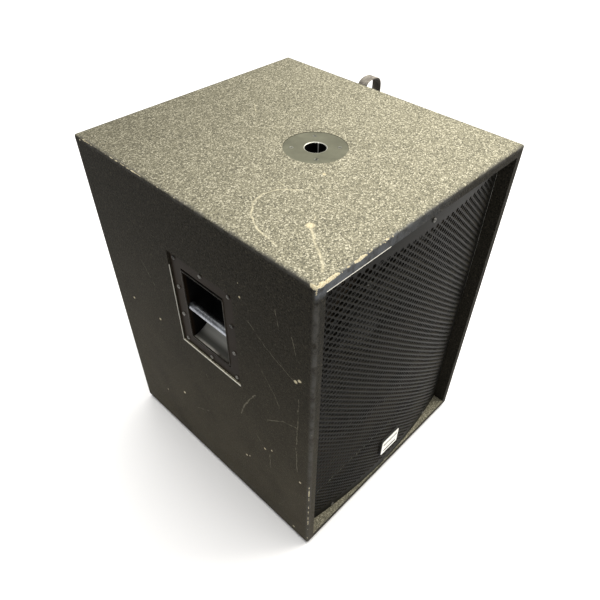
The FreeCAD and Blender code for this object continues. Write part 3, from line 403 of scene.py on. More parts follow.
HAIR, THIN, WIDE = 0.0009, 0.0014, 0.0022
LEFT_LINES = [
    (THIN, on_left((0.054, 0.157), (0.010, 0.186))),
    (HAIR, on_left((-0.005, 0.321), (-0.007, 0.304))),
    (HAIR, on_left((-0.146, 0.566), (-0.186, 0.533), (-0.216, 0.519), (-0.245, 0.506))),
    (WIDE, on_left((-0.150, 0.385), (-0.119, 0.327), (-0.105, 0.290))),
    (THIN, on_left((-0.180, 0.340), (-0.219, 0.375), (-0.254, 0.389))),
    (THIN, on_left((-0.145, 0.260), (-0.168, 0.234))),
    (THIN, on_left((-0.256, 0.469), (-0.254, 0.386), (-0.251, 0.330), (-0.253, 0.253))),
    (THIN, on_left((-0.181, 0.227), (-0.181, 0.181))),
    (HAIR, on_left((-0.209, 0.630), (-0.215, 0.595))),
    (HAIR, on_left((-0.241, 0.598), (-0.251, 0.563))),
    (THIN, on_left((-0.201, 0.064), (-0.212, 0.068))),
    (HAIR, on_left((-0.165, 0.480), (-0.200, 0.430), (-0.214, 0.400))),
    (HAIR, on_left((0.150, 0.520), (0.118, 0.470))),
]
REBATE_WEAR = [
    (0.0009, [(LEFT + 0.0006, 0.054, 0.560), (LEFT + 0.0006, 0.054, 0.377)]),
    (0.0014, [(LEFT + 0.0006, 0.054, 0.376), (LEFT + 0.0006, -0.112, 0.376)]),
]

# %% [markdown]
# Chips are where the paint is gone for good. They lie along the edges and round the handle, where
# cases and trolleys hit the cabinet.

# %% Chips and the marks of the top
LEFT_CHIPS = [
    chip(0.0035, (LEFT, 0.220, 0.378)), chip(0.0035, (LEFT, 0.129, 0.378)),
    chip(0.0042, (LEFT, 0.096, 0.172)), chip(0.0020, (LEFT, 0.172, 0.117)),
    chip(0.0020, (LEFT, -0.133, 0.605)), chip(0.0018, (LEFT, -0.130, 0.632)),
    chip(0.0032, (LEFT, -0.168, 0.234)), chip(0.0026, (LEFT, -0.188, 0.249)),
    chip(0.0035, (LEFT, -0.245, 0.020)), chip(0.0034, (LEFT, -0.108, 0.146)),
    chip(0.0022, (LEFT, -0.118, 0.153)), chip(0.0048, (LEFT, -0.250, 0.508)),
    chip(0.0040, (LEFT, -0.258, 0.516)), chip(0.0030, (LEFT, -0.262, 0.224)),
]
TOP_LINES = [
    (0.0030, on_top((-0.171, -0.189), (-0.190, -0.216), (-0.210, -0.244), (-0.230, -0.268))),
    (THIN, on_top((-0.168, -0.188), (-0.148, -0.180), (-0.130, -0.182), (-0.117, -0.191))),
    (WIDE, on_top((-0.114, -0.115), (-0.134, -0.092), (-0.162, -0.083), (-0.188, -0.091))),
    (WIDE, on_top((-0.188, -0.091), (-0.210, -0.112), (-0.227, -0.143), (-0.235, -0.190))),
    (HAIR, on_top((0.073, 0.215), (0.104, 0.220))),
    (HAIR, on_top((0.047, 0.163), (0.020, 0.128))),
    (HAIR, on_top((0.154, -0.178), (0.176, -0.229))),
    (HAIR, on_top((-0.120, -0.073), (-0.124, -0.097))),
]
TOP_CHIPS = [
    chip(0.0085, (-0.171, -0.189, TOP)), chip(0.0040, (-0.055, -0.110, TOP)),
    chip(0.0060, (-0.254, -0.208, TOP)), chip(0.0065, (-0.254, -0.231, TOP)),
    chip(0.0060, (-0.251, 0.262, TOP)), chip(0.0050, (-0.254, 0.152, TOP)),
    chip(0.0035, (-0.257, 0.055, TOP)), chip(0.0028, (-0.259, -0.033, TOP)),
]
SMALL_NICKS = [chip(0.0025, (RIGHT, -0.120, 0.300)), chip(0.0030, (RIGHT, -0.250, 0.480))]
print(len(LEFT_LINES) + len(TOP_LINES), "scratches,", len(LEFT_CHIPS) + len(TOP_CHIPS), "chips")

# %% [markdown]
# The paint itself: charcoal pebbles with painted bounce light near the floor, then dust with painted
# light on the top, worn edges with a painted highlight, scratches, and last the broken places, where
# wood shows. Bare plywood is left on the faces inside the box, so the finish also looks at whether a
# point lies in there.

# %% Paint colours and the inside
BOARD = 0.0181
INSIDE_LOW = Vector((LEFT + BOARD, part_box("front_baffle")[1].y - 0.0001, SHELL_LOW.z + BOARD))
INSIDE_HIGH = Vector((RIGHT - BOARD, BACK - BOARD, TOP - BOARD))
# The grime colour also paints the light the floor bounces onto the lower sides; the dust colour also paints
# part of the light on the top; the bluish edge colour is a painted highlight.
CHARCOAL, BLACK, GRIME_AND_BOUNCE = (0.022, 0.020, 0.0155), (0.004, 0.004, 0.0035), (0.098, 0.085, 0.060)
DUST_AND_TOP_LIGHT, DARK_DUST, PALE_DUST = (0.262, 0.248, 0.184), (0.074, 0.072, 0.060), (0.580, 0.550, 0.440)
PALE_WOOD, EDGE_HIGHLIGHT, BRIGHT_EDGE = (0.62, 0.57, 0.42), (0.120, 0.130, 0.145), (0.84, 0.82, 0.74)
RUBBED, SCRAPED, BARE_WOOD = (0.085, 0.082, 0.076), (0.195, 0.178, 0.135), (0.300, 0.235, 0.125)
NO_WEAR = [(0.0001, [(LEFT, FRONT, FLOOR), (LEFT, FRONT, FLOOR + 0.001)])]


# %% [markdown]
# Inside the box the boards are bare. A birch ply face is pale, with grain stretched along the board.

# %% Bare wood inside
def is_inside(place):
    """1 for points within the closed box behind the baffle."""
    middle, half = (INSIDE_LOW + INSIDE_HIGH) / 2, (INSIDE_HIGH - INSIDE_LOW) / 2
    offset = vector("ABSOLUTE", vector("SUBTRACT", place, middle))
    spare = vector("SUBTRACT", tuple(half + Vector((0.0004, 0, 0.0004))), offset)
    x, y, z = split(spare)
    least = calc("MINIMUM", x, calc("MINIMUM", y, z))
    return calc("GREATER_THAN", least, 0.0)


def plywood_colour(place):
    """Pale birch with stretched grain."""
    stretched = add(place.material, "Mapping", {"Vector": place, "Scale": (1.0, 0.12, 0.12)})
    grain = mottle(stretched, 90.0, 6.0, 0.65)
    return colour_mix(grain, (0.42, 0.29, 0.16), (0.66, 0.50, 0.31))


def grain_shade(place):
    """A shade of its own for every grain of the paint."""
    grains = add(place.material, "TexVoronoi", {"Vector": place, "Scale": 560.0}, "Color")
    return add(place.material, "SeparateColor", {0: grains})


# %% [markdown]
# The first coats are charcoal pebbles with black between them, browner and lighter towards the floor
# with grime and painted bounce light from the floor. Dust then settles on what faces up, paler on some
# grains; it also paints part of the top's light, and a painted light falloff makes it lighter towards
# the right and front.

# %% Pebbles and dust
def pebbled_black(place, grain, fine, cloud, shade, bounce_and_soiling):
    """Charcoal grains, grimy and with painted floor bounce light towards the foot, both thinning upwards."""
    colour = colour_mix(mask(grain * 0.55 + fine * 0.6, 0.25, 0.62), BLACK, CHARCOAL)
    # Painted bounce light from the floor, given together with grime: lighter and browner towards the foot.
    low_down = mask(split(place)[2], 0.72, -0.10)
    grime_and_bounce = low_down * mask(cloud, -0.25, 0.75)
    grime_and_bounce = grime_and_bounce * (0.55 * bounce_and_soiling) + mask(shade, 0.80, 1.0) * 0.30
    return colour_mix(grime_and_bounce, colour, GRIME_AND_BOUNCE)


def dusted_and_lit(place, colour, settled, fine, cloud, shade, dust_and_light):
    """Dust and painted light on the faces that look up."""
    shade = shade * 0.85 + fine * 0.3
    shade = shade + cloud * 0.12
    dusty = colour_mix(mask(shade, 0.02, 0.80), DARK_DUST, DUST_AND_TOP_LIGHT)
    dusty = colour_mix(mask(shade, 0.78, 1.10), dusty, PALE_DUST)
    x, y, z = split(place)
    # Painted light falloff: the dust is made lighter towards the right and front, where more light falls.
    thick = mask(x * 0.8 - y * 1.3, -0.70, 0.35)
    thick = 0.44 * dust_and_light + thick * (0.48 * dust_and_light)
    return colour_mix(settled * thick, colour, dusty)


# %% [markdown]
# Hands and ramps rub every edge grey, and the front edge under the top gets a painted highlight. Where
# a knock goes deeper the paint breaks off in flakes, and splintered wood shows.

# %% Rubbed and broken edges
def rubbed_and_lit_edges(place, colour, edge, chipping):
    """Grey worn edges, and a painted highlight on the front edge of the top."""
    rub = mask(edge, 0.009, 0.0005) * mask(chipping, 0.25, 0.65)
    colour = colour_mix(rub * 0.75, colour, RUBBED)
    x, y, z = split(place)
    # Painted highlight on the front edge of the top.
    edge_highlight = mask(y, FRONT + 0.0042, FRONT + 0.0012) * mask(x, 0.10, -0.24)
    edge_highlight = edge_highlight * (0.05 + mask(z, 0.690, 0.702))
    edge_highlight = edge_highlight * mask(chipping, 0.15, 0.6)
    return colour_mix(edge_highlight * 0.75, colour, EDGE_HIGHLIGHT)


def broken_paint(place, edge, chipping, spots):
    """1 where the paint is gone: at random along the edges, at worn places, and at chosen spots."""
    broken = chipping - edge * 28.0
    broken = broken + scratches(place, WORN_PLACES) * 0.30
    return calc("MAXIMUM", mask(broken, 0.690, 0.715), spots)


# %% [markdown]
# All the stages come together here. Each board gets its own lines and chips; the noise that bends
# them is shared, and the bump is the pebbles less the depth of the broken places.

# %% Cabinet paint
def cabinet_paint(name, lines, chips, dust_and_light=1.0, bounce_and_soiling=1.0, edge_wear=NO_WEAR):
    """The whole finish of one board."""
    material = finish(name, ior=1.08)
    place = place_of(material)
    sway = add(material, "TexNoise", {"Vector": place, "Scale": 55.0, "Detail": 2.0}, "Color")
    bent = vector("ADD", place, scaled(vector("SUBTRACT", sway, (0.5, 0.5, 0.5)), 0.006))
    grain = pebbles(bent, 340.0)
    fine = mottle(place, 480.0, 2.0, 0.6)
    cloud = mottle(place, 9.0, 4.0, 0.6)
    shade = grain_shade(place)
    settled = mask(facing_up(material), 0.35, 0.97)
    colour = pebbled_black(place, grain, fine, cloud, shade, bounce_and_soiling)
    colour = dusted_and_lit(place, colour, settled, fine, cloud, shade, dust_and_light)

    edge = edge_distance(place)
    chipping = mottle(place, 75.0, 5.0, 0.6)
    colour = rubbed_and_lit_edges(place, colour, edge, chipping)
    patchy = mask(mottle(place, 160.0, 3.0), 0.30, 0.60)
    scraped = colour_mix(settled, SCRAPED, PALE_WOOD)
    colour = colour_mix(scratches(bent, lines) * patchy * 0.55, colour, scraped)

    bare = broken_paint(place, edge, chipping, scratches(bent, chips))
    splinters = mottle(place, 620.0, 4.0, 0.7)
    wood = colour_mix(mask(splinters, 0.30, 0.62), BARE_WOOD, PALE_WOOD)
    colour = colour_mix(bare, colour, wood)
    bright_edge = scratches(place, edge_wear) * mask(splinters, 0.18, 0.42)
    colour = colour_mix(bright_edge, colour, BRIGHT_EDGE)

    inside = is_inside(place)
    colour = colour_mix(inside, colour, plywood_colour(place))
    rough = calc("ADD", 0.44 + fine * 0.3, calc("MAXIMUM", bare, settled) * 0.2, clamp=True)
    height = (grain + fine) * (1.0 - inside) - bare * 0.9
    return wear_surface(material, colour, rough, height, 0.00055)


# %% [markdown]
# Some stretches of edge have taken more knocks than others: the front left top corner and the
# front edge beside it, the back left top corner, and the foot of the front left upright.

# %% Where the edges are most worn
WORN_PLACES = [
    (0.020, [(LEFT, FRONT, TOP), (LEFT + 0.008, FRONT, TOP)]),
    (0.0066, [(LEFT, FRONT, TOP), (LEFT + 0.105, FRONT, TOP)]),
    (0.0080, [(LEFT + 0.105, FRONT, TOP), (LEFT + 0.150, FRONT, TOP)]),
    (0.030, [(LEFT, BACK, TOP), (LEFT, BACK - 0.02, TOP)]),
    (0.003, [(LEFT, FRONT, 0.02), (LEFT, FRONT, 0.24)]),
    (0.003, [(LEFT, 0.0, TOP), (LEFT, BACK, TOP)]),
    (0.004, [(RIGHT, FRONT, 0.20), (RIGHT, FRONT, 0.50)]),
]


def wear(names, material):
    """Gives CAD nodes a finish in their own material slots."""
    for name in names:
        for slot in nodes[name].material_slots:
            slot.material = material


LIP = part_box("top_panel")[0].z + 0.0006
LIP_LINE = (0.0013, [(LEFT + 0.020, FRONT, LIP), (LEFT + 0.150, FRONT, LIP)])
wear(["top_panel"], cabinet_paint("top_paint", TOP_LINES, TOP_CHIPS, edge_wear=[LIP_LINE]))
wear(["left_side_panel"], cabinet_paint("left_paint", LEFT_LINES, LEFT_CHIPS, edge_wear=REBATE_WEAR))
NICK_LINE = [SMALL_NICKS[0]]
# The right and back boards get neither grime nor painted bounce light.
plain_paint = cabinet_paint("shell_paint", NICK_LINE, SMALL_NICKS, bounce_and_soiling=0.0)
wear(["right_side_panel", "back_panel"], plain_paint)
wear(["bottom_panel"], cabinet_paint("floor_paint", NICK_LINE, SMALL_NICKS, dust_and_light=0.56, bounce_and_soiling=0.5))
print("painted", len(SHELL_BOARDS), "boards")

# %% [markdown]
# ## The grille
# A speaker grille is one steel sheet punched with staggered rows of round holes, bowed forwards and
# folded back at its two ends. A picture of holes would look flat from the side, so the holes are
# real. Each hole sits in its own diamond; the diamonds fit together without gaps, and a plain
# border closes them off. The flat pattern is then laid on the bowed and folded sheet.

# %% The sheet's shape
GRILLE_LOW, GRILLE_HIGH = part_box("front_grille")
SHEET, RETURN_DEEP, FOLD_RADIUS = 0.0015, 0.012, 0.0025
HALF_WIDE = GRILLE_HIGH.x
BOW_DEEP = GRILLE_HIGH.y - GRILLE_LOW.y - RETURN_DEEP
BOW_RADIUS = (HALF_WIDE**2 + BOW_DEEP**2) / (2 * BOW_DEEP)
BOW_END = HALF_WIDE - FOLD_RADIUS
BOW_SLOPE = math.asin(BOW_END / BOW_RADIUS)
FOLD_LONG = FOLD_RADIUS * (math.pi / 2 - BOW_SLOPE)


def bow_point(across, inward=0.0):
    """(x, y) on the bowed sheet, inward metres behind its front skin."""
    slope = math.asin(across / BOW_RADIUS)
    radius = BOW_RADIUS - inward
    return radius * math.sin(slope), GRILLE_LOW.y + BOW_RADIUS - radius * math.cos(slope)


def sheet_point(across, height, inward):
    """A point of the flat pattern laid on the sheet: bowed, then folded, then straight back."""
    side = math.copysign(1.0, across)
    reach = abs(across)
    if reach <= BOW_END:
        x, y = bow_point(across, inward)
        return x, y, height
    start_x, start_y = bow_point(BOW_END)
    centre_x = start_x - FOLD_RADIUS * math.sin(BOW_SLOPE)
    centre_y = start_y + FOLD_RADIUS * math.cos(BOW_SLOPE)
    turn = BOW_SLOPE + min(reach - BOW_END, FOLD_LONG) / FOLD_RADIUS
    radius = FOLD_RADIUS - inward
    straight = max(0.0, reach - BOW_END - FOLD_LONG)
    return side * (centre_x + radius * math.sin(turn)), centre_y - radius * math.cos(turn) + straight, height


RETURN_LONG = GRILLE_HIGH.y - sheet_point(BOW_END + FOLD_LONG, 0, 0)[1]
print("bow radius", round(BOW_RADIUS, 3), "fold back", round(RETURN_LONG, 4))

# %% [markdown]
# The sheet has a front and a back skin. Both are laid out as one flat pattern, and a small class
# keeps them together, so that a face is made once for both and no point is doubled.

# %% Two skins of one sheet
HOLE_RADIUS, HOLE_SIDES = 0.0040, 12
DIAMOND_HALF_WIDE, DIAMOND_HALF_TALL = 0.00725, 0.00625
PLAIN_TOP, PLAIN_END = 0.020, 0.005


class Skins:
    """Front and back skin of the sheet, sharing their flat pattern and joined by walls."""

    def __init__(self):
        self.points, self.index, self.faces = [], {}, []

    def at(self, across, height, inward):
        key = (round(across * 1e6), round(height * 1e6), inward)
        if key not in self.index:
            self.index[key] = len(self.points)
            self.points.append(sheet_point(across, height, inward * SHEET))
        return self.index[key]

    def flat(self, outline):
        """A face in both skins; outline runs anticlockwise seen from the front."""
        self.faces.append([self.at(*point, 0) for point in outline])
        self.faces.append([self.at(*point, 1) for point in reversed(outline)])

    def wall(self, start, end):
        """Closes the sheet's thickness along an edge that has the sheet on its left."""
        self.faces.append([self.at(*end, 0), self.at(*start, 0), self.at(*start, 1), self.at(*end, 1)])


# %% [markdown]
# A punched hole is four pieces of its diamond, each from one side of the diamond to a quarter of the
# rim, and a wall through the sheet. Odd rows are shifted by half a diamond.

# %% Punch the holes
def punch(skins, centre_x, centre_z):
    """One diamond with a round hole."""
    corners = [
        (centre_x + DIAMOND_HALF_WIDE, centre_z), (centre_x, centre_z + DIAMOND_HALF_TALL),
        (centre_x - DIAMOND_HALF_WIDE, centre_z), (centre_x, centre_z - DIAMOND_HALF_TALL),
    ]
    rim = []
    for step in range(HOLE_SIDES):
        turn = 2 * math.pi * step / HOLE_SIDES
        rim.append((centre_x + HOLE_RADIUS * math.cos(turn), centre_z + HOLE_RADIUS * math.sin(turn)))
    quarter = HOLE_SIDES // 4
    for corner in range(4):
        arc = [rim[(corner * quarter + step) % HOLE_SIDES] for step in range(quarter, -1, -1)]
        skins.flat([corners[corner], corners[(corner + 1) % 4], *arc])
    for step in range(HOLE_SIDES):
        skins.wall(rim[(step + 1) % HOLE_SIDES], rim[step])


def between(start, end, steps):
    return [start + (end - start) * step / steps for step in range(steps + 1)]


def perforated_sheet():
    skins = Skins()
    room_wide = BOW_END - PLAIN_END - DIAMOND_HALF_WIDE
    columns = int(room_wide / (2 * DIAMOND_HALF_WIDE))
    middle_z = (GRILLE_LOW.z + GRILLE_HIGH.z) / 2
    room_tall = (GRILLE_HIGH.z - GRILLE_LOW.z) / 2 - PLAIN_TOP - DIAMOND_HALF_TALL
    rows = 2 * int(room_tall / (2 * DIAMOND_HALF_TALL))
    for row in range(-rows, rows + 1):
        odd = row % 2
        for column in range(-columns, columns + 1 - odd):
            across = (2 * column + odd) * DIAMOND_HALF_WIDE
            punch(skins, across, middle_z + row * DIAMOND_HALF_TALL)
    last_x = 2 * columns * DIAMOND_HALF_WIDE
    last_z = (rows + 1) * DIAMOND_HALF_TALL
    border(skins, last_x, middle_z, last_z, rows)
    print("holes", sum(2 * columns + 1 - row % 2 for row in range(-rows, rows + 1)))
    return skins


# %% [markdown]
# The border is two zigzags along the top and the foot, and two down the sides, where it also runs
# round the fold and along the return.

# %% Plain border
def border(skins, last_x, middle_z, last_z, rows):
    """The plain margin from the zigzag of the outer diamonds to the sheet's edges and folds."""
    top, bottom = GRILLE_HIGH.z, GRILLE_LOW.z
    count = round(last_x / DIAMOND_HALF_WIDE)
    for sign, edge in ((1, top), (-1, bottom)):
        zigzag = []
        for step in range(-count, count + 1):
            dip = DIAMOND_HALF_TALL if (step + count) % 2 else 0.0
            zigzag.append((step * DIAMOND_HALF_WIDE, middle_z + sign * (last_z - dip)))
        for one, other in zip(zigzag, zigzag[1:]):
            outline = [one, other, (other[0], edge), (one[0], edge)]
            skins.flat(outline if sign > 0 else outline[::-1])
            run = ((other[0], edge), (one[0], edge))
            skins.wall(*(run if sign > 0 else run[::-1]))
    bends = [BOW_END] + between(BOW_END, BOW_END + FOLD_LONG, 5)[1:] + [BOW_END + FOLD_LONG + RETURN_LONG]
    levels = [middle_z + step * DIAMOND_HALF_TALL for step in range(-rows - 1, rows + 2)]
    for side in (1, -1):
        zigzag = []
        for number, level in enumerate(levels):
            out = DIAMOND_HALF_WIDE if number % 2 else 0.0
            zigzag.append((side * (last_x + out), level))
        zigzag = [(side * last_x, bottom)] + zigzag + [(side * last_x, top)]
        for one, other in zip(zigzag, zigzag[1:]):
            lines = [(one, other)] + [((side * bend, one[1]), (side * bend, other[1])) for bend in bends]
            for (low, high), (next_low, next_high) in zip(lines, lines[1:]):
                outline = [low, next_low, next_high, high]
                skins.flat(outline if side > 0 else outline[::-1])
            rim = lines[-1]
            skins.wall(*(rim if side > 0 else rim[::-1]))
        for edge, up in ((top, 1), (bottom, -1)):
            ends = [side * last_x] + [side * bend for bend in bends]
            for one, other in zip(ends, ends[1:]):
                run = ((other, edge), (one, edge))
                skins.wall(*(run if side == up else run[::-1]))


# %% [markdown]
# Every new piece rides on a body of the CAD model. The sheet's pattern becomes such a piece and stands
# for the plain CAD sheet.

# %% The grille as a piece
def new_piece(name, points, faces, body="cabinet", slot=None, smooth=False):
    """A mesh object that rides on a CAD body; its slot argument is not used."""
    mesh = mesh_of(name, points, faces)
    mesh.validate()
    mesh.polygons.foreach_set("use_smooth", [smooth] * len(mesh.polygons))
    piece = put_in_scene(name, mesh)
    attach(piece, body)
    return piece


grille_skins = perforated_sheet()
grille = new_piece("perforated_grille", grille_skins.points, grille_skins.faces, slot="grille_steel")
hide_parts("front_grille")
print(len(grille.data.polygons), "grille faces,", len(grille.data.loop_triangles), "triangles")

# %% [markdown]
# Grille steel is powder coated: a fine satin black, slightly dusty along its upper edge, where the
# coat is thin on the rims of the holes. Its folded ends carry a painted highlight.

# %% Powder-coated steel
def powder_coat(name, dark, light, dust_and_light, sheen_rough=0.42, metal=0.0, ior=1.4, fold_highlight=False, cup=False):
    """Satin coating with fine orange peel, dusty on upward faces; a handle cup gets painted shade deep in
    its pocket and a painted reflection on its floor, and the grille a painted highlight down its folds.
    """
    material = finish(name, metal=metal, ior=ior)
    place = place_of(material)
    peel = mottle(place, 700.0, 2.0)
    cloud = mottle(place, 14.0, 4.0)
    colour = colour_mix(cloud, dark, light)
    upward = facing_up(material)
    settled = mask(upward, 0.2, 0.95) * mask(cloud, 0.3, 0.7)
    colour = colour_mix(settled, colour, dust_and_light)
    # Handle cup: deep in the pocket is painted near black as shade, and a pale painted reflection lies on
    # the lower floor of the cup.
    if cup:
        x, y, z = split(place)
        deep = mask(calc("ABSOLUTE", x), abs(LEFT) - 0.008, abs(LEFT) - 0.014)
        lit = deep * mask(upward, 0.10, 0.60)
        lit = lit * mask(z, 0.428, 0.417)
        lit = lit * calc("ADD", 0.12, mask(z, 0.403, 0.410), clamp=True)
        colour = colour_mix(deep, colour, (0.004, 0.004, 0.004))
        colour = colour_mix(lit, colour, dust_and_light)
    # Painted highlight down the grille's folded ends, lighter from the middle height upwards.
    if fold_highlight:
        x, y, z = split(place)
        fold_glint = mask(calc("ABSOLUTE", x), GRILLE_HIGH.x - 0.0050, GRILLE_HIGH.x - 0.0030)
        fold_glint = fold_glint * mask(z, 0.30, 0.60)
        colour = colour_mix(fold_glint * 0.8, colour, (0.42, 0.41, 0.38))
    rough = sheen_rough + (cloud + settled) * 0.12
    return wear_surface(material, colour, rough, peel, 0.00008)


grille_coat = powder_coat(
    "grille_coat", (0.005, 0.005, 0.004), (0.010, 0.009, 0.007), (0.050, 0.045, 0.034),
    ior=1.15, fold_highlight=True,
)
grille.data.materials.append(grille_coat)

# %% [markdown]
# ## Screws
# Every visible screw has a pan head with a cross recess. One head is turned from its profile and
# the recess is cut out of it once; copies are then set at the CAD's places, each turned by chance
# as a hand leaves them.

# %% Turned shapes
def turned(profile, sides):
    """Points and faces of a profile of (radius, height) spun about Z, closed on its axis."""
    points, faces, rings = [], [], []
    for radius, height in profile:
        if radius == 0:
            rings.append([len(points)])
            points.append((0, 0, height))
            continue
        rings.append(list(range(len(points), len(points) + sides)))
        for step in range(sides):
            turn = 2 * math.pi * step / sides
            points.append((radius * math.cos(turn), radius * math.sin(turn), height))
    for lower, upper in zip(rings, rings[1:]):
        for step in range(sides):
            after = (step + 1) % sides
            corners = [lower[turn % len(lower)] for turn in (step, after)]
            corners += [upper[turn % len(upper)] for turn in (after, step)]
            faces.append(list(dict.fromkeys(corners)))
    return points, faces


# %% [markdown]
# The recess is two crossing wedges, cut out of the turned head. The wedges reach well above the
# head, so the cut leaves a clean edge.

# %% Cross recess and whole screw
def cross_recess(radius, top, deep):
    """Two crossing wedges that narrow downwards."""
    points, faces = [], []
    for swap in (False, True):
        start = len(points)
        for height, share in ((top - deep, 0.55), (top + deep, 1.25)):
            for x, y in ((-1, -1), (1, -1), (1, 1), (-1, 1)):
                corner = (x * radius * 0.60 * share, y * radius * 0.13 * share)
                points.append((*(corner[::-1] if swap else corner), height))
        order = [(0, 3, 2, 1), (4, 5, 6, 7), (0, 1, 5, 4), (1, 2, 6, 5), (2, 3, 7, 6), (3, 0, 4, 7)]
        if swap:
            order = [face[::-1] for face in order]
        faces += [[start + corner for corner in face] for face in order]
    return points, faces


def screw_shape(radius, tall, countersunk=False):
    """Points and faces of a screw that stands along +Z with its seat at height 0."""
    shank = [(0, -3.2 * radius), (0.2 * radius, -2.9 * radius), (0.42 * radius, -2.2 * radius)]
    if countersunk:
        head = [(0.45 * radius, -tall), (radius, -0.1 * tall), (0.97 * radius, 0), (0, 0)]
    else:
        head = [
            (0.45 * radius, 0), (radius, 0), (radius, 0.3 * tall), (0.93 * radius, 0.62 * tall),
            (0.72 * radius, 0.88 * tall), (0.4 * radius, 0.98 * tall), (0, tall),
        ]
    whole = put_in_scene("screw", mesh_of("screw", *turned(shank + head, 28)))
    top = 0.0 if countersunk else tall
    tool = put_in_scene("cutter", mesh_of("cutter", *cross_recess(radius, top, 0.45 * tall)))
    cut = whole.modifiers.new("recess", "BOOLEAN")
    cut.object, cut.solver, cut.use_self = tool, "EXACT", True
    mesh = bpy.data.meshes.new_from_object(whole.evaluated_get(bpy.context.evaluated_depsgraph_get()))
    points = [tuple(vertex.co) for vertex in mesh.vertices]
    faces = [list(face.vertices) for face in mesh.polygons]
    for made in (whole, tool):
        bpy.data.objects.remove(made)
    return points, faces


HEAD, HEAD_TALL = 0.0040, 0.0022
PAN_SCREW = screw_shape(HEAD, HEAD_TALL)
SUNK_SCREW = screw_shape(HEAD, HEAD_TALL, countersunk=True)
print("pan screw", len(PAN_SCREW[1]), "faces; countersunk", len(SUNK_SCREW[1]))


# %% [markdown]
# A row of screws is one piece: the same shape repeated at each place, facing outwards.

# %% Copies of a screw
def drive(name, shape, places, outward, node_name, slot, material):
    """Copies of one screw at several places, standing outward, in place of a CAD node."""
    points, faces = [], []
    stand = Vector(outward).to_track_quat("Z", "Y").to_matrix()
    for place in places:
        turn = stand @ Matrix.Rotation(chance.uniform(0, math.pi), 3, "Z")
        start = len(points)
        points += [tuple(turn @ Vector(point) + Vector(place)) for point in shape[0]]
        faces += [[start + corner for corner in face] for face in shape[1]]
    made = new_piece(name, points, faces, slot=slot)
    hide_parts(node_name)
    made.data.materials.append(material)
    return made


# %% [markdown]
# Screws are blackened or zinc plated. Plating wears bright on the crown of the head and stays dull
# in the recess, so the roughness wanders from spot to spot.

# %% Metals
def plated(name, dull, bright, rough=0.34):
    """Bare or plated metal with stains."""
    material = finish(name, metal=1.0)
    place = place_of(material)
    stain = mottle(place, 240.0, 4.0)
    blotch = mottle(place, 30.0, 3.0)
    colour = colour_mix(mask(stain + blotch, 0.7, 1.25), dull, bright)
    roughness = rough + stain * 0.22
    return wear_surface(material, colour, roughness, stain, 0.00004)


BLACK_ZINC = plated("black_zinc", (0.035, 0.035, 0.032), (0.200, 0.195, 0.180))
BRIGHT_ZINC = plated("bright_zinc", (0.30, 0.30, 0.28), (0.72, 0.71, 0.66), 0.26)

print("platings:", BLACK_ZINC.name, BRIGHT_ZINC.name)

# %% [markdown]
# Places for the screws follow from the boxes of the CAD screws: the outermost screws sit one head
# radius inside the box, and the others are spread evenly between them.

# %% Handle screws
def spread(low, high, inset, steps):
    """Evenly spaced places between two ends, inset from both."""
    return between(low + inset, high - inset, steps - 1)


def handle_places(side):
    """Ten screws round a handle plate: three along the top and the foot, two up each side."""
    low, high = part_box(f"{side}_handle_screws")
    dish_low, dish_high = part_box(f"{side}_handle_dish")
    face = dish_low.x if side == "left" else dish_high.x
    middle = (low.z + high.z) / 2
    ys = spread(low.y, high.y, HEAD, 3)
    places = [(face, y, z) for z in spread(low.z, high.z, HEAD, 2) for y in ys]
    return places + [(face, y, middle + rise) for y in (ys[0], ys[2]) for rise in (-0.033, 0.033)]


for side, outward in (("left", (-1, 0, 0)), ("right", (1, 0, 0))):
    drive(f"{side}_handle_screw_heads", PAN_SCREW, handle_places(side), outward, f"{side}_handle_screws",
          "black_screws", BLACK_ZINC)

# %% [markdown]
# The remaining screws stand at the corners of a rectangle or in two short rows. The grille's screws
# follow its bow, and the pole socket has the only countersunk ones.

# %% Grille, socket, dish and clamp screws
screw_low, screw_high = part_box("grille_screws")
grille_places = []
for height in spread(screw_low.z, screw_high.z, HEAD, 2):
    for across in spread(screw_low.x, screw_high.x, HEAD, 3):
        x, y = bow_point(across)
        grille_places.append((x, y - 0.0003, height))
drive("grille_screw_heads", PAN_SCREW, grille_places, (0, -1, 0), "grille_screws",
      "black_screws", BLACK_ZINC)

socket_low, socket_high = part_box("pole_socket")
ring_low, ring_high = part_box("pole_socket_screws")
pole_places = [(x, y, socket_high.z) for x in spread(ring_low.x, ring_high.x, HEAD, 2)
               for y in spread(ring_low.y, ring_high.y, HEAD, 2)]
DULL_ZINC = plated("dull_zinc", (0.10, 0.10, 0.08), (0.46, 0.46, 0.40), 0.30)
drive("pole_socket_screw_heads", SUNK_SCREW, pole_places, (0, 0, 1), "pole_socket_screws",
      "plated_screws", DULL_ZINC)

dish_low, dish_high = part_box("rear_dish_screws")
rear_places = [(x, dish_high.y - HEAD_TALL, z) for x in spread(dish_low.x, dish_high.x, HEAD, 2)
               for z in spread(dish_low.z, dish_high.z, HEAD, 2)]
drive("rear_dish_screw_heads", PAN_SCREW, rear_places, (0, 1, 0), "rear_dish_screws",
      "black_screws", BLACK_ZINC)

clamp_low, clamp_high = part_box("strap_clamp_screws")
strap_middle = (clamp_low.y + clamp_high.y) / 2
clamp_places = [(clamp_high.x - HEAD_TALL, strap_middle, z)
                for z in spread(clamp_low.z, clamp_high.z, HEAD, 2)]
drive("strap_clamp_screw_heads", PAN_SCREW, clamp_places, (1, 0, 0), "strap_clamp_screws",
      "black_screws", BLACK_ZINC)
print("screws driven:", 20 + len(grille_places + pole_places + rear_places + clamp_places))

# %% [markdown]
# ## Badge
# The badge is a moulded plate on the grille: a black body with a bright face that carries two plain
# bars and no lettering. Its outline is a rectangle with round corners, made by a short formula and
# stacked in layers, each a little smaller than the one below, which gives it a chamfered rim.

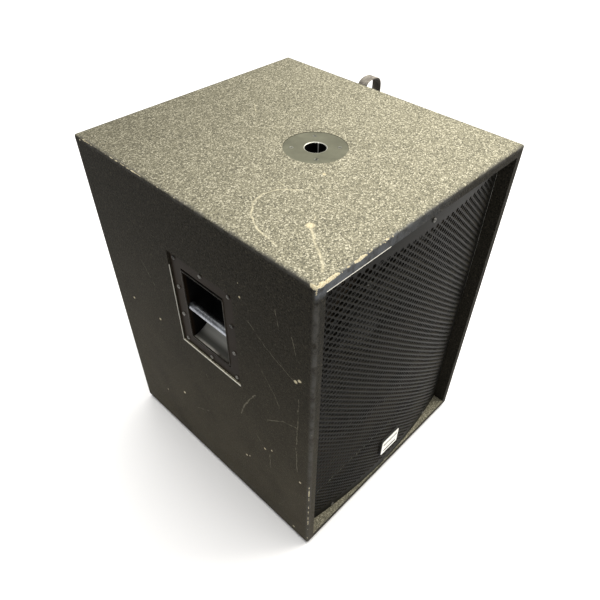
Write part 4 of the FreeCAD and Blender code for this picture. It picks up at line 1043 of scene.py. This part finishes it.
# %% Rounded plates
def tube_faces(rings, sides, closed=False):
    """Quads between neighbouring rings of points; a closed tube joins its last ring to its first."""
    faces = []
    for ring in range(rings if closed else rings - 1):
        low, high = ring * sides, (ring + 1) % rings * sides
        for step in range(sides):
            after = (step + 1) % sides
            faces.append([low + step, low + after, high + after, high + step])
    return faces


def end_faces(rings, sides):
    """The two faces that close a tube's ends."""
    last = (rings - 1) * sides
    return [list(range(sides))[::-1], [last + step for step in range(sides)]]


def rounded_outline(half_wide, half_tall, radius, steps=6):
    """(x, z) points anticlockwise round a rectangle with round corners."""
    outline = []
    for quarter, (x, z) in enumerate(((1, 1), (-1, 1), (-1, -1), (1, -1))):
        for step in range(steps + 1):
            turn = math.pi / 2 * (quarter + step / steps)
            outline.append((
                x * (half_wide - radius) + radius * math.cos(turn),
                z * (half_tall - radius) + radius * math.sin(turn),
            ))
    return outline


def stacked_plate(name, centre, layers, radius, slot):
    """A plate that faces the front; layers are (depth in y, half width, half height)."""
    points = []
    for y, half_wide, half_tall in layers:
        inset = layers[0][1] - half_wide
        for x, z in rounded_outline(half_wide, half_tall, max(radius - inset, 0.0002)):
            points.append((centre[0] + x, y, centre[1] + z))
    count = len(points) // len(layers)
    faces = tube_faces(len(layers), count) + end_faces(len(layers), count)
    return new_piece(name, points, faces, slot=slot)


# %% [markdown]
# The plate's body is black and its face is brushed metal, a little smaller, so a dark rim shows
# round it. The two bars stand proud of the face by a fraction of a millimetre.

# %% Badge
badge_low, badge_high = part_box("badge")
BADGE_FRONT, BADGE_BACK = badge_low.y, GRILLE_LOW.y
badge_half = ((badge_high.x - badge_low.x) / 2, (badge_high.z - badge_low.z) / 2)
badge_centre = ((badge_high.x + badge_low.x) / 2, (badge_high.z + badge_low.z) / 2)
RIM = 0.0016
body_front, face_front = BADGE_FRONT + 0.0012, BADGE_FRONT + 0.0003
badge_rim = [h - 0.0006 for h in badge_half]
badge_body = stacked_plate(
    "badge_body", badge_centre,
    [(BADGE_BACK, *badge_half), (body_front + 0.0006, *badge_half), (body_front, *badge_rim)],
    0.004, "badge_plate",
)
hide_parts("badge")
badge_black = powder_coat("badge_black", (0.006, 0.006, 0.006), (0.012, 0.012, 0.011), (0.02, 0.02, 0.018))
badge_body.data.materials.append(badge_black)
inner = [h - RIM for h in badge_half]
badge_face = stacked_plate(
    "badge_face", badge_centre,
    [(body_front, *inner), (face_front + 0.0004, *inner), (face_front, *(h - 0.0005 for h in inner))],
    0.0032, "badge_plate",
)
badge_face.data.materials.append(plated("brushed_badge", (0.74, 0.73, 0.70), (0.96, 0.95, 0.90), 0.30))
BAR_INK = powder_coat("badge_bar_black", (0.008, 0.008, 0.008), (0.015, 0.015, 0.014), (0.03, 0.03, 0.03))
BAR_GREY = powder_coat("badge_bar_grey", (0.20, 0.20, 0.18), (0.26, 0.25, 0.22), (0.28, 0.27, 0.24))
for name, rise, half_wide, half_tall, material in (
    ("badge_bar_upper", 0.010, 0.024, 0.0028, BAR_GREY),
    ("badge_bar_lower", -0.013, 0.021, 0.0022, BAR_INK),
):
    bar = stacked_plate(
        name, (badge_centre[0], badge_centre[1] + rise),
        [(face_front, half_wide, half_tall), (BADGE_FRONT, half_wide - 0.0003, half_tall - 0.0003)],
        0.0012, "badge_plate",
    )
    bar.data.materials.append(material)

# %% [markdown]
# ## Handles
# Each side has a steel dish with a grip bar, sunk flush with the board. The CAD dish has the right
# shape, so it stays and gets a finish. Pressing a dish rolls a small bead round its mouth, which is
# what catches the light, so the bead is added as a thin rod that follows the opening.

# %% Dishes, bars and their beads
def rod_along(name, path, radius, sides, slot):
    """A round rod that follows a flat closed path of (x, y, z) points."""
    points = []
    count = len(path)
    for number, point in enumerate(path):
        before, after = Vector(path[number - 1]), Vector(path[(number + 1) % count])
        along = (after - before).normalized()
        across = along.cross(Vector((1, 0, 0))).normalized()
        out = along.cross(across)
        for step in range(sides):
            turn = 2 * math.pi * step / sides
            offset = radius * (math.cos(turn) * across + math.sin(turn) * out)
            points.append(tuple(Vector(point) + offset))
    return new_piece(name, points, tube_faces(count, sides, True), slot=slot, smooth=True)


BEAD, MOUTH_ROUND = 0.0013, 0.003
# The pale colour is dust on upward faces and also a painted reflection on the floor of the cup.
handle_steel = powder_coat(
    "handle_coat", (0.009, 0.006, 0.004), (0.022, 0.015, 0.009), (0.62, 0.61, 0.57), 0.32, ior=1.10, cup=True
)
bar_steel = plated("grip_bar_steel", (0.16, 0.165, 0.185), (0.40, 0.42, 0.46), 0.26)
for side, out in (("left", -1), ("right", 1)):
    bar_low, bar_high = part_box(f"{side}_handle_bar")
    dish_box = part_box(f"{side}_handle_dish")
    face = dish_box[0].x if side == "left" else dish_box[1].x
    half_long = (bar_high.y - bar_low.y) / 2
    middle_y = (bar_high.y + bar_low.y) / 2
    middle_z = (dish_box[0].z + dish_box[1].z) / 2
    half_tall = (dish_box[1].z - dish_box[0].z) / 2 - (dish_box[1].y - dish_box[0].y) / 2 + half_long
    outline = rounded_outline(half_long - 0.0004, half_tall - 0.0004, MOUTH_ROUND, 4)
    path = [(face + out * 0.0002, middle_y + y, middle_z + z) for y, z in outline]
    bead = rod_along(f"{side}_mouth_bead", path, BEAD, 8, slot="handle_steel")
    bead_steel = plated(f"{side}_bead_steel", (0.012, 0.011, 0.009), (0.045, 0.041, 0.034), 0.4)
    bead.data.materials.append(bead_steel)
    wear([f"{side}_handle_dish"], handle_steel)
    wear([f"{side}_handle_bar"], bar_steel)
    print(side, "mouth", round(2000 * half_long), "x", round(2000 * half_tall), "mm")

# %% [markdown]
# ## Pole socket
# A turned steel flange lies just below the paint. It is greyer and smoother than the paint, with
# fine lathe rings round its bore: the rings are a wave of the distance from the socket's axis.

# %% Turned steel
def ring_distance(place, centre, across="z"):
    """Distance of a point from an upright axis, or from one that runs front to back."""
    flatten = {"z": (1, 1, 0), "y": (1, 0, 1)}[across]
    offset = vector("SUBTRACT", place, centre)
    return vector("LENGTH", vector("MULTIPLY", offset, flatten))


def turned_steel(name, centre, across, dull, bright, rings=2600.0, rough=0.36, metal=1.0):
    material = finish(name, metal=metal)
    place = place_of(material)
    distance = ring_distance(place, centre, across)
    lathe = calc("SINE", distance * rings)
    stain = mottle(place, 60.0, 5.0, 0.6)
    colour = colour_mix(mask(stain, 0.3, 0.7), dull, bright)
    roughness = rough + stain * 0.2
    height = lathe * 0.5 + stain
    return wear_surface(material, colour, roughness, height, 0.00006)


SOCKET_AXIS = ((socket_low.x + socket_high.x) / 2, (socket_low.y + socket_high.y) / 2, socket_high.z)
BORE, MOUTH = 0.01825, 0.01965
# A pale line down the far wall of the bore is a painted highlight.
GLINT_ENDS = (socket_high.z - 0.001, socket_low.z + 0.02)
BORE_GLINT = [(BORE * 0.884, SOCKET_AXIS[1] + BORE * 0.460, z) for z in GLINT_ENDS]


def socket_steel():
    """Olive-grey flange, a bright chamfer, and a bore painted black as shade, with one painted highlight
    line down it.
    """
    material = finish("socket_steel", metal=0.6)
    place = place_of(material)
    distance = ring_distance(place, SOCKET_AXIS, "z")
    lathe = calc("SINE", distance * 2600.0)
    stain = mottle(place, 28.0, 5.0, 0.6)
    colour = colour_mix(mask(stain, 0.2, 0.8), (0.135, 0.135, 0.098), (0.190, 0.190, 0.140))
    rim = mask(distance, MOUTH + 0.0008, MOUTH)
    colour = colour_mix(rim, colour, (0.62, 0.62, 0.56))
    # The bore is painted near black as shade, and the pale line is a painted highlight.
    bore = calc("LESS_THAN", distance, BORE + 0.0004)
    colour = colour_mix(bore, colour, (0.004, 0.004, 0.004))
    bore_glint = scratches(place, [(0.0016, BORE_GLINT)])
    colour = colour_mix(bore_glint, colour, (0.90, 0.90, 0.86))
    roughness = 0.36 + stain * 0.2
    height = lathe * 0.5 + stain
    return wear_surface(material, colour, roughness, height, 0.00006)


wear(["pole_socket"], socket_steel())
print("pole socket at", [round(value, 3) for value in SOCKET_AXIS])

# %% [markdown]
# ## Baffle, brace and battens
# Behind the grille the baffle is brushed with the same black, thinner and without pebbles, so some
# brown wood comes through. The grille battens get the same black; the brace and the corner blocks
# inside are bare birch plywood.

# %% Painted and bare plywood
def baffle_paint():
    material = finish("baffle_black", ior=1.25)
    place = place_of(material)
    cloud = mottle(place, 26.0, 5.0, 0.6)
    strokes = add(material, "Mapping", {"Vector": place, "Scale": (1.0, 1.0, 9.0)})
    brush = mottle(strokes, 60.0, 4.0)
    colour = colour_mix(mask(cloud, 0.35, 0.75), (0.010, 0.008, 0.006), (0.050, 0.036, 0.022))
    behind = calc("GREATER_THAN", split(place)[1], BAFFLE_MIDDLE)
    colour = colour_mix(behind, colour, plywood_colour(place))
    return wear_surface(material, colour, 0.5 + brush * 0.3, brush, 0.00015)


def bare_plywood():
    material = finish("bare_birch", specular=0.3)
    place = place_of(material)
    layers = calc("SINE", split(place)[1] * 4200.0)
    colour = plywood_colour(place)
    colour = colour_mix(mask(layers, 0.2, 0.9) * 0.25, colour, (0.22, 0.13, 0.07))
    fuzz = mottle(place, 500.0)
    return wear_surface(material, colour, 0.6 + fuzz * 0.25, fuzz, 0.0001)


baffle_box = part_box("front_baffle")
BAFFLE_MIDDLE = (baffle_box[0].y + baffle_box[1].y) / 2
wear(["front_baffle"], baffle_paint())
wear(["window_brace", "corner_blocks"], bare_plywood())
wear(["grille_top_batten", "grille_bottom_batten"], baffle_paint())
print("baffle middle at y", round(BAFFLE_MIDDLE, 4))

# %% [markdown]
# ## The driver
# A stamped steel basket, a rubber gasket, a paper cone with pressed ribs and a ring magnet. The
# parts are turned shapes about one axis that runs front to back, so many of their patterns are
# waves of the distance from that axis.

# %% Driver finishes
frame_low, frame_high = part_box("woofer_frame")
AXIS = ((frame_low.x + frame_high.x) / 2, frame_low.y, (frame_low.z + frame_high.z) / 2)


def cone_paper():
    material = finish("pressed_paper", specular=0.3)
    place = place_of(material)
    distance = ring_distance(place, AXIS, "y")
    rib = calc("SINE", distance * 360.0)
    fibre = mottle(place, 420.0, 6.0, 0.7)
    colour = colour_mix(fibre, (0.010, 0.010, 0.009), (0.034, 0.032, 0.028))
    height = mask(rib, 0.4, 1.0) * 3.0 + fibre
    return wear_surface(material, colour, 0.62 + fibre * 0.25, height, 0.0004)


# %% [markdown]
# Rubber, cloth and sintered or cast parts each get one finish that takes its colours as arguments,
# so the gasket, the feet and the cable can share one, and the spider and the felt another.

# %% Rubber, cloth and grains
def soft_rubber(name, dark, light, scale=320.0):
    material = finish(name, specular=0.35)
    place = place_of(material)
    skin = mottle(place, scale, 4.0)
    bloom = mottle(place, 25.0, 3.0)
    colour = colour_mix(bloom, dark, light)
    return wear_surface(material, colour, 0.55 + skin * 0.3, skin, 0.00012)


def woven(name, dark, light, threads=900.0):
    """Cloth: two crossed thread waves."""
    material = finish(name, specular=0.2)
    place = place_of(material)
    x, y, z = split(place)
    warp = calc("SINE", (x + y) * threads)
    weft = calc("SINE", (z - y * 0.5) * threads)
    cross = warp * weft
    cloud = mottle(place, 60.0, 4.0)
    colour = colour_mix(mask(cross + cloud, -0.3, 1.3), dark, light)
    return wear_surface(material, colour, 0.7 + cloud * 0.25, cross, 0.00025)


def granular(name, dark, light, scale=600.0, rough=0.6, metal=0.0):
    """Sintered or cast: a fine sandy skin."""
    material = finish(name, metal=metal)
    place = place_of(material)
    sand = mottle(place, scale, 5.0, 0.7)
    colour = colour_mix(sand, dark, light)
    return wear_surface(material, colour, rough + sand * 0.2, sand, 0.00015)


# %% [markdown]
# With these finishes the driver's own parts can be dressed, from the basket at the front to the
# yoke at the back. The coil is copper, and the steel of the motor keeps its lathe rings.

# %% Dress the driver
basket_black = powder_coat(
    "basket_black", (0.010, 0.010, 0.010), (0.022, 0.021, 0.020), (0.07, 0.066, 0.055)
)
copper = turned_steel("coil_winding", AXIS, "y", (0.55, 0.30, 0.16), (0.80, 0.50, 0.28), 9000.0, 0.3)
motor_steel = turned_steel("motor_steel", AXIS, "y", (0.20, 0.20, 0.19), (0.42, 0.42, 0.40), 3200.0, 0.35)
wear(["woofer_frame"], basket_black)
wear(["woofer_gasket"], soft_rubber("gasket_foam", (0.012, 0.011, 0.010), (0.030, 0.028, 0.025)))
wear(["woofer_cone"], cone_paper())
wear(["woofer_dust_cap"], granular("cap_paper", (0.008, 0.008, 0.008), (0.022, 0.021, 0.019), 380.0, 0.55))
wear(["woofer_voice_coil"], copper)
wear(["woofer_top_plate", "woofer_yoke"], motor_steel)
wear(["woofer_magnet"], granular("ferrite", (0.018, 0.018, 0.019), (0.045, 0.045, 0.047), 500.0, 0.55))
wear(["woofer_bolts"], BLACK_ZINC)
wear(["woofer_tee_nuts"], BRIGHT_ZINC)
print("basket", round(frame_high.x - frame_low.x, 3), "m across")

# %% [markdown]
# ## Surround and spider
# Two cloth rings let the cone travel: the half-roll surround at its rim and the corrugated spider
# behind it. Each is fixed on its outer edge and rides with the cone on its inner edge. Each ring is
# made as twelve equal sectors, and neighbours meet along their common edge. A bend that runs
# outwards from an axis can't be said in one straight line, so each ring is made as twelve equal
# sectors.

# %% Sectors of a ring
SECTORS, STEPS = 12, 6


def ring_sector(name, profile, number, material):
    """One sector of a ring, from a closed profile of (radius, y)."""
    points = []
    for step in range(STEPS + 1):
        turn = 2 * math.pi * (number + step / STEPS) / SECTORS
        for radius, y in profile:
            points.append((AXIS[0] + radius * math.sin(turn), y, AXIS[2] + radius * math.cos(turn)))
    count = len(profile)
    faces = tube_faces(STEPS + 1, count) + end_faces(STEPS + 1, count)
    mesh = mesh_of(name, points, faces)
    mesh.polygons.foreach_set("use_smooth", [True] * (len(faces) - 2) + [False] * 2)
    shape = bmesh.new()
    shape.from_mesh(mesh)
    bmesh.ops.recalc_face_normals(shape, faces=shape.faces)
    shape.to_mesh(mesh)
    shape.free()
    mesh.materials.append(material)
    sector = put_in_scene(name, mesh)
    return sector


# %% [markdown]
# Each ring's sectors are baked into place, and the CAD ring is hidden.

# %% Rings of sectors
def bending_ring(name, profile, node_name, material):
    """Twelve sectors that stand in for one CAD ring."""
    for number in range(SECTORS):
        sector = ring_sector(f"{name}_{number + 1:02d}", profile, number, material)
        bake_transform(sector)
        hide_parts(node_name)


def thick_line(line, thick):
    """A closed profile round an open line of (radius, y), thick metres deep."""
    back = []
    for number, (radius, y) in enumerate(line):
        before, after = line[max(number - 1, 0)], line[min(number + 1, len(line) - 1)]
        along = Vector((after[0] - before[0], after[1] - before[1])).normalized()
        back.append((radius - along.y * thick, y + along.x * thick))
    return line + back[::-1]


# %% [markdown]
# The surround is one half-roll between two flat lands. The roll bulges to the front, and the land
# on the outside is glued to the basket's rim.

# %% Surround
surround_low, surround_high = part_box("woofer_surround")
roll_outer, roll_inner = surround_high.x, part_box("woofer_cone")[1].x
LAND, ROLL_WALL = 0.007, 0.0010
roll_middle = (roll_outer - LAND + roll_inner) / 2
roll_half = roll_middle - roll_inner
crest = surround_high.y - surround_low.y - ROLL_WALL
line = [(roll_outer, surround_high.y - 0.0020), (roll_outer - LAND * 0.8, surround_high.y - 0.0020)]
for step in range(13):
    turn = math.pi * step / 12
    y = surround_high.y - 0.0014 - (crest - 0.0014) * math.sin(turn)
    line.append((roll_middle + roll_half * math.cos(turn), y))
line.append((roll_inner - 0.006, surround_high.y + 0.0012))
roll_cloth = soft_rubber("surround_cloth", (0.012, 0.012, 0.012), (0.026, 0.025, 0.024), 900.0)
bending_ring("surround", thick_line(line, -ROLL_WALL),
             "woofer_surround", roll_cloth)
print("surround", round(roll_inner, 4), "to", round(roll_outer, 4), "crest", round(crest, 4))

# %% [markdown]
# The spider is a flat cloth pressed into ripples. Their height fades to nothing at both edges, where
# the cloth is glued to the basket and to the coil.

# %% Spider
spider_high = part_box("woofer_spider")[1]
spider_outer, spider_inner = spider_high.x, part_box("woofer_voice_coil")[1].x
RIPPLES, RIPPLE_TALL = 5, 0.0016
line = []
for step in range(41):
    share = step / 40
    ripple = RIPPLE_TALL * math.sin(math.pi * share) ** 0.5 * math.sin(2 * math.pi * RIPPLES * share)
    line.append((spider_outer + (spider_inner - spider_outer) * share, spider_high.y - 0.0012 + ripple))
spider_weave = woven("spider_weave", (0.30, 0.19, 0.08), (0.52, 0.36, 0.18), 2600.0)
bending_ring("spider", thick_line(line, -0.0006),
             "woofer_spider", spider_weave)
print("spider", round(spider_inner, 4), "to", round(spider_outer, 4), "with", RIPPLES, "ripples")

# %% [markdown]
# ## Strap loop
# A band of webbing is folded into a loop, and both its ends lie one on the other under the steel
# clamp. It is one ribbon swept along its folded line, with softened edges. The weave is two thread
# waves, so it stays fine at any size.

# %% The folded band
BAND_THICK, BAND_SAG, SQUARE = 0.0014, 0.0006, 0.72
strap_low, strap_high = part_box("strap_loop")
plate_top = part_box("strap_clamp_plate")[1].z
band_wide = strap_high.y - strap_low.y
loop_radius = (strap_high.x - strap_low.x - BAND_THICK) / 2
loop_x = (strap_high.x + strap_low.x) / 2
crown_z = strap_high.z - loop_radius - BAND_THICK / 2
heel_z = plate_top + loop_radius


def band_line():
    """The (x, z) line of the band from its inner end to its outer end."""
    inner_x = strap_low.x + BAND_THICK / 2
    outer_x = inner_x + BAND_THICK
    rises = range(int((crown_z - strap_low.z) / 0.004))
    line = [(inner_x, strap_low.z + 0.0006 + 0.004 * step) for step in rises]
    for step in range(25):
        turn = math.pi * (1 - step / 24)
        across, up = math.cos(turn), math.sin(turn)
        across = math.copysign(abs(across) ** SQUARE, across)
        line.append((loop_x + loop_radius * across, crown_z + loop_radius * abs(up) ** SQUARE))
    runs = 10
    for step in range(1, runs):
        z = crown_z + (heel_z - crown_z) * step / runs
        line.append((loop_x + loop_radius - BAND_SAG * math.sin(math.pi * step / runs), z))
    for step in range(13):
        turn = -math.pi * 0.5 * step / 12
        line.append((loop_x + loop_radius * math.cos(turn), heel_z + loop_radius * math.sin(turn)))
    start_x, start_z = line[-1]
    for step in range(1, 15):
        share = step / 14
        ease = share * share * (3 - 2 * share)
        line.append((start_x + (outer_x - start_x) * share, start_z - 0.0095 * ease))
    end_z = line[-1][1]
    line += [(outer_x, end_z - (end_z - strap_low.z - 0.0006) * step / 6) for step in range(1, 7)]
    return line


# %% [markdown]
# The ribbon is an eight-cornered outline carried along that line.

# %% Ribbon and weave
def swept_band(line, wide, thick):
    """A ribbon along (x, z) points, with its width along Y and its edges softened."""
    half, soft = wide / 2, thick * 0.35
    outline = [(-half + soft, -1), (half - soft, -1), (half, -0.3), (half, 0.3),
               (half - soft, 1), (-half + soft, 1), (-half, 0.3), (-half, -0.3)]
    points = []
    middle_y = (strap_low.y + strap_high.y) / 2
    for number, (x, z) in enumerate(line):
        before, after = line[max(number - 1, 0)], line[min(number + 1, len(line) - 1)]
        along = Vector((after[0] - before[0], after[1] - before[1])).normalized()
        for y, side in outline:
            depth = side * thick / 2
            points.append((x - along.y * depth, middle_y + y, z + along.x * depth))
    rings = len(line), len(outline)
    return points, tube_faces(*rings) + end_faces(*rings)


def webbing():
    material = finish("webbing", specular=0.3)
    place = place_of(material)
    x, y, z = split(place)
    rows = calc("SINE", (z + x) * 3800.0)
    twill = calc("SINE", (y * 3.0 + z) * 1500.0)
    weave = rows * 0.5 + twill
    cloud = mottle(place, 90.0, 4.0)
    worn = cloud + weave * 0.10
    colour = colour_mix(mask(worn, 0.25, 0.75), (0.130, 0.118, 0.105), (0.400, 0.368, 0.330))
    return wear_surface(material, colour, 0.5 + cloud * 0.3, weave, 0.0003)


# %% [markdown]
# The band is cloth, resting on the side board.

# %% The strap itself
line = band_line()
ribbon = swept_band(line, band_wide, BAND_THICK)
band = new_piece("strap_band", *ribbon, slot="strap_webbing", smooth=True)
band.data.materials.append(webbing())
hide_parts("strap_loop")
wear(["strap_clamp_plate"], BLACK_ZINC)

# %% [markdown]
# ## Rear
# A moulded dish carries two round speaker sockets, and two flared tubes tune the box. All are black
# plastic: the dish has a coarse moulded texture, the sockets are smoother. Each socket gets its centre
# post, the part that shows in its mouth.

# %% Plastics
def moulded(name, dark, light, grain, rough):
    material = finish(name, specular=0.4, ior=1.35)
    place = place_of(material)
    skin = pebbles(place, grain)
    cloud = mottle(place, 18.0, 4.0)
    colour = colour_mix(cloud, dark, light)
    upward = facing_up(material)
    settled = mask(upward, 0.3, 1.0) * mask(cloud, 0.3, 0.7)
    colour = colour_mix(settled * 0.6, colour, DUST_AND_TOP_LIGHT)
    return wear_surface(material, colour, rough + cloud * 0.2, skin, 0.00012)


dish_plastic = moulded("dish_plastic", (0.008, 0.008, 0.008), (0.020, 0.019, 0.018), 700.0, 0.42)
port_plastic = moulded("port_plastic", (0.008, 0.008, 0.008), (0.018, 0.018, 0.017), 420.0, 0.36)
socket_plastic = moulded("socket_plastic", (0.006, 0.006, 0.007), (0.014, 0.014, 0.015), 900.0, 0.28)
wear(["rear_connector_dish"], dish_plastic)
wear(["port_tube_left", "port_tube_right"], port_plastic)
wear(["speaker_socket_in", "speaker_socket_link", "woofer_terminal"], socket_plastic)
print("plastics:", dish_plastic.name, port_plastic.name, socket_plastic.name)

# %% [markdown]
# A post is a short brass tube with a chamfered end. Every eighth point is pulled in, which leaves the
# narrow grooves that the plug's key runs in.

# %% Socket posts
POST_RADIUS, POST_LONG, POST_ROUND = 0.0045, 0.017, 0.0008
POST_RINGS = [
    (POST_RADIUS - POST_ROUND, POST_LONG), (POST_RADIUS, POST_LONG - POST_ROUND), (POST_RADIUS, 0.0),
]
POST_SIDES = 32
contact_brass = plated("contact_brass", (0.30, 0.20, 0.07), (0.62, 0.46, 0.20), 0.3)


def socket_post(name, socket):
    """The post in the middle of a socket, seen in its mouth."""
    low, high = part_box(socket)
    centre = Vector(((low.x + high.x) / 2, low.y + 0.0018, (low.z + high.z) / 2))
    points = []
    for radius, deep in POST_RINGS:
        for step in range(POST_SIDES):
            turn = 2 * math.pi * step / POST_SIDES
            reach = radius * (0.86 if step % 8 == 0 else 1.0)
            points.append((centre.x + reach * math.cos(turn), centre.y + deep,
                           centre.z + reach * math.sin(turn)))
    rings = len(POST_RINGS), POST_SIDES
    post = new_piece(name, points, tube_faces(*rings) + end_faces(*rings), slot="socket_plastic")
    post.data.materials.append(contact_brass)


for number, socket in enumerate(("speaker_socket_link", "speaker_socket_in")):
    socket_post(f"socket_post_{number + 1}", socket)

# %% [markdown]
# ## Feet
# Rubber feet carry the cabinet, each held by one screw from below.

# %% Feet
wear(["rubber_feet"], soft_rubber("foot_rubber", (0.010, 0.010, 0.010), (0.034, 0.032, 0.029), 260.0))
wear(["feet_screws"], BLACK_ZINC)
print("feet stand at", round(FLOOR, 4))

# %% [markdown]
# ## Damping felt
# A pad of felt lies on the floor of the box behind the brace. Felt is lumpy and its edges are soft,
# so the pad is a fine grid whose top sinks a little at random and rolls off towards its edges.

# %% Felt pad
felt_low, felt_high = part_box("damping_felt")
FELT_CELLS = (110, 36)
EDGE_SOFT, LUMP = 0.010, 0.0045


def felt_height(x, y):
    """Height of the pad's top at one point."""
    spare = min(x - felt_low.x, felt_high.x - x, y - felt_low.y, felt_high.y - y)
    roll = math.sqrt(max(0.0, 1 - (1 - min(spare / EDGE_SOFT, 1.0)) ** 2))
    lump = noise.fractal(Vector((x * 26, y * 26, 4.0)), 0.8, 2.0, 4)
    tall = felt_high.z - felt_low.z
    return felt_low.z + tall * (0.35 + 0.65 * roll) - LUMP * (0.5 + 0.5 * max(-1.0, min(1.0, lump))) * roll


def felt_pad():
    across, deep = FELT_CELLS
    points, faces = [], []
    for layer in range(2):
        for j in range(deep + 1):
            for i in range(across + 1):
                x = felt_low.x + (felt_high.x - felt_low.x) * i / across
                y = felt_low.y + (felt_high.y - felt_low.y) * j / deep
                points.append((x, y, felt_low.z if layer == 0 else felt_height(x, y)))
    row, whole = across + 1, (across + 1) * (deep + 1)
    for j in range(deep):
        for i in range(across):
            a = j * row + i
            faces.append([a, a + row, a + row + 1, a + 1])
            faces.append([whole + a, whole + a + 1, whole + a + row + 1, whole + a + row])
    rim = list(range(across)) + [across + j * row for j in range(deep)]
    rim += [deep * row + i for i in range(across, 0, -1)] + [j * row for j in range(deep, 0, -1)]
    for a, b in zip(rim, rim[1:] + rim[:1]):
        faces.append([a, b, whole + b, whole + a])
    return points, faces


felt = new_piece("felt_pad", *felt_pad(), "cabinet", "felt", smooth=True)
felt.data.materials.append(woven("felt_wool", (0.16, 0.155, 0.15), (0.42, 0.41, 0.39), 420.0))
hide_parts("damping_felt")
print("felt", round(felt_high.z - felt_low.z, 3), "m thick")

# %% [markdown]
# ## Cable
# One two-core cable runs inside from the input socket to the woofer's terminals. It lies slack
# across the floor of the box, so its line is a smooth curve through a few bends.

# %% Cable
CABLE_RADIUS = 0.004
CABLE_ROUTE = [
    (0.027, 0.2285, 0.200), (0.027, 0.186, 0.200), (0.022, 0.128, 0.178), (0.015, 0.064, 0.160),
    (0.009, 0.000, 0.160), (0.004, -0.056, 0.186), (0.000, -0.104, 0.224), (0.000, -0.147, 0.224),
]
cable_data = bpy.data.curves.new("speaker_lead", "CURVE")
cable_data.dimensions = "3D"
spline = cable_data.splines.new("NURBS")
spline.points.add(len(CABLE_ROUTE) - 1)
for control, place in zip(spline.points, CABLE_ROUTE):
    control.co = (*place, 1.0)
spline.order_u = 3
spline.use_endpoint_u = True
spline.resolution_u = 24
cable_data.bevel_depth = CABLE_RADIUS
cable_data.bevel_resolution = 5
cable_data.use_fill_caps = True
lead = put_in_scene("speaker_lead", cable_data)
cable_data.materials.append(soft_rubber("cable_jacket", (0.012, 0.012, 0.012), (0.030, 0.029, 0.028), 500.0))
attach(lead, "cabinet")
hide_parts("speaker_cable")
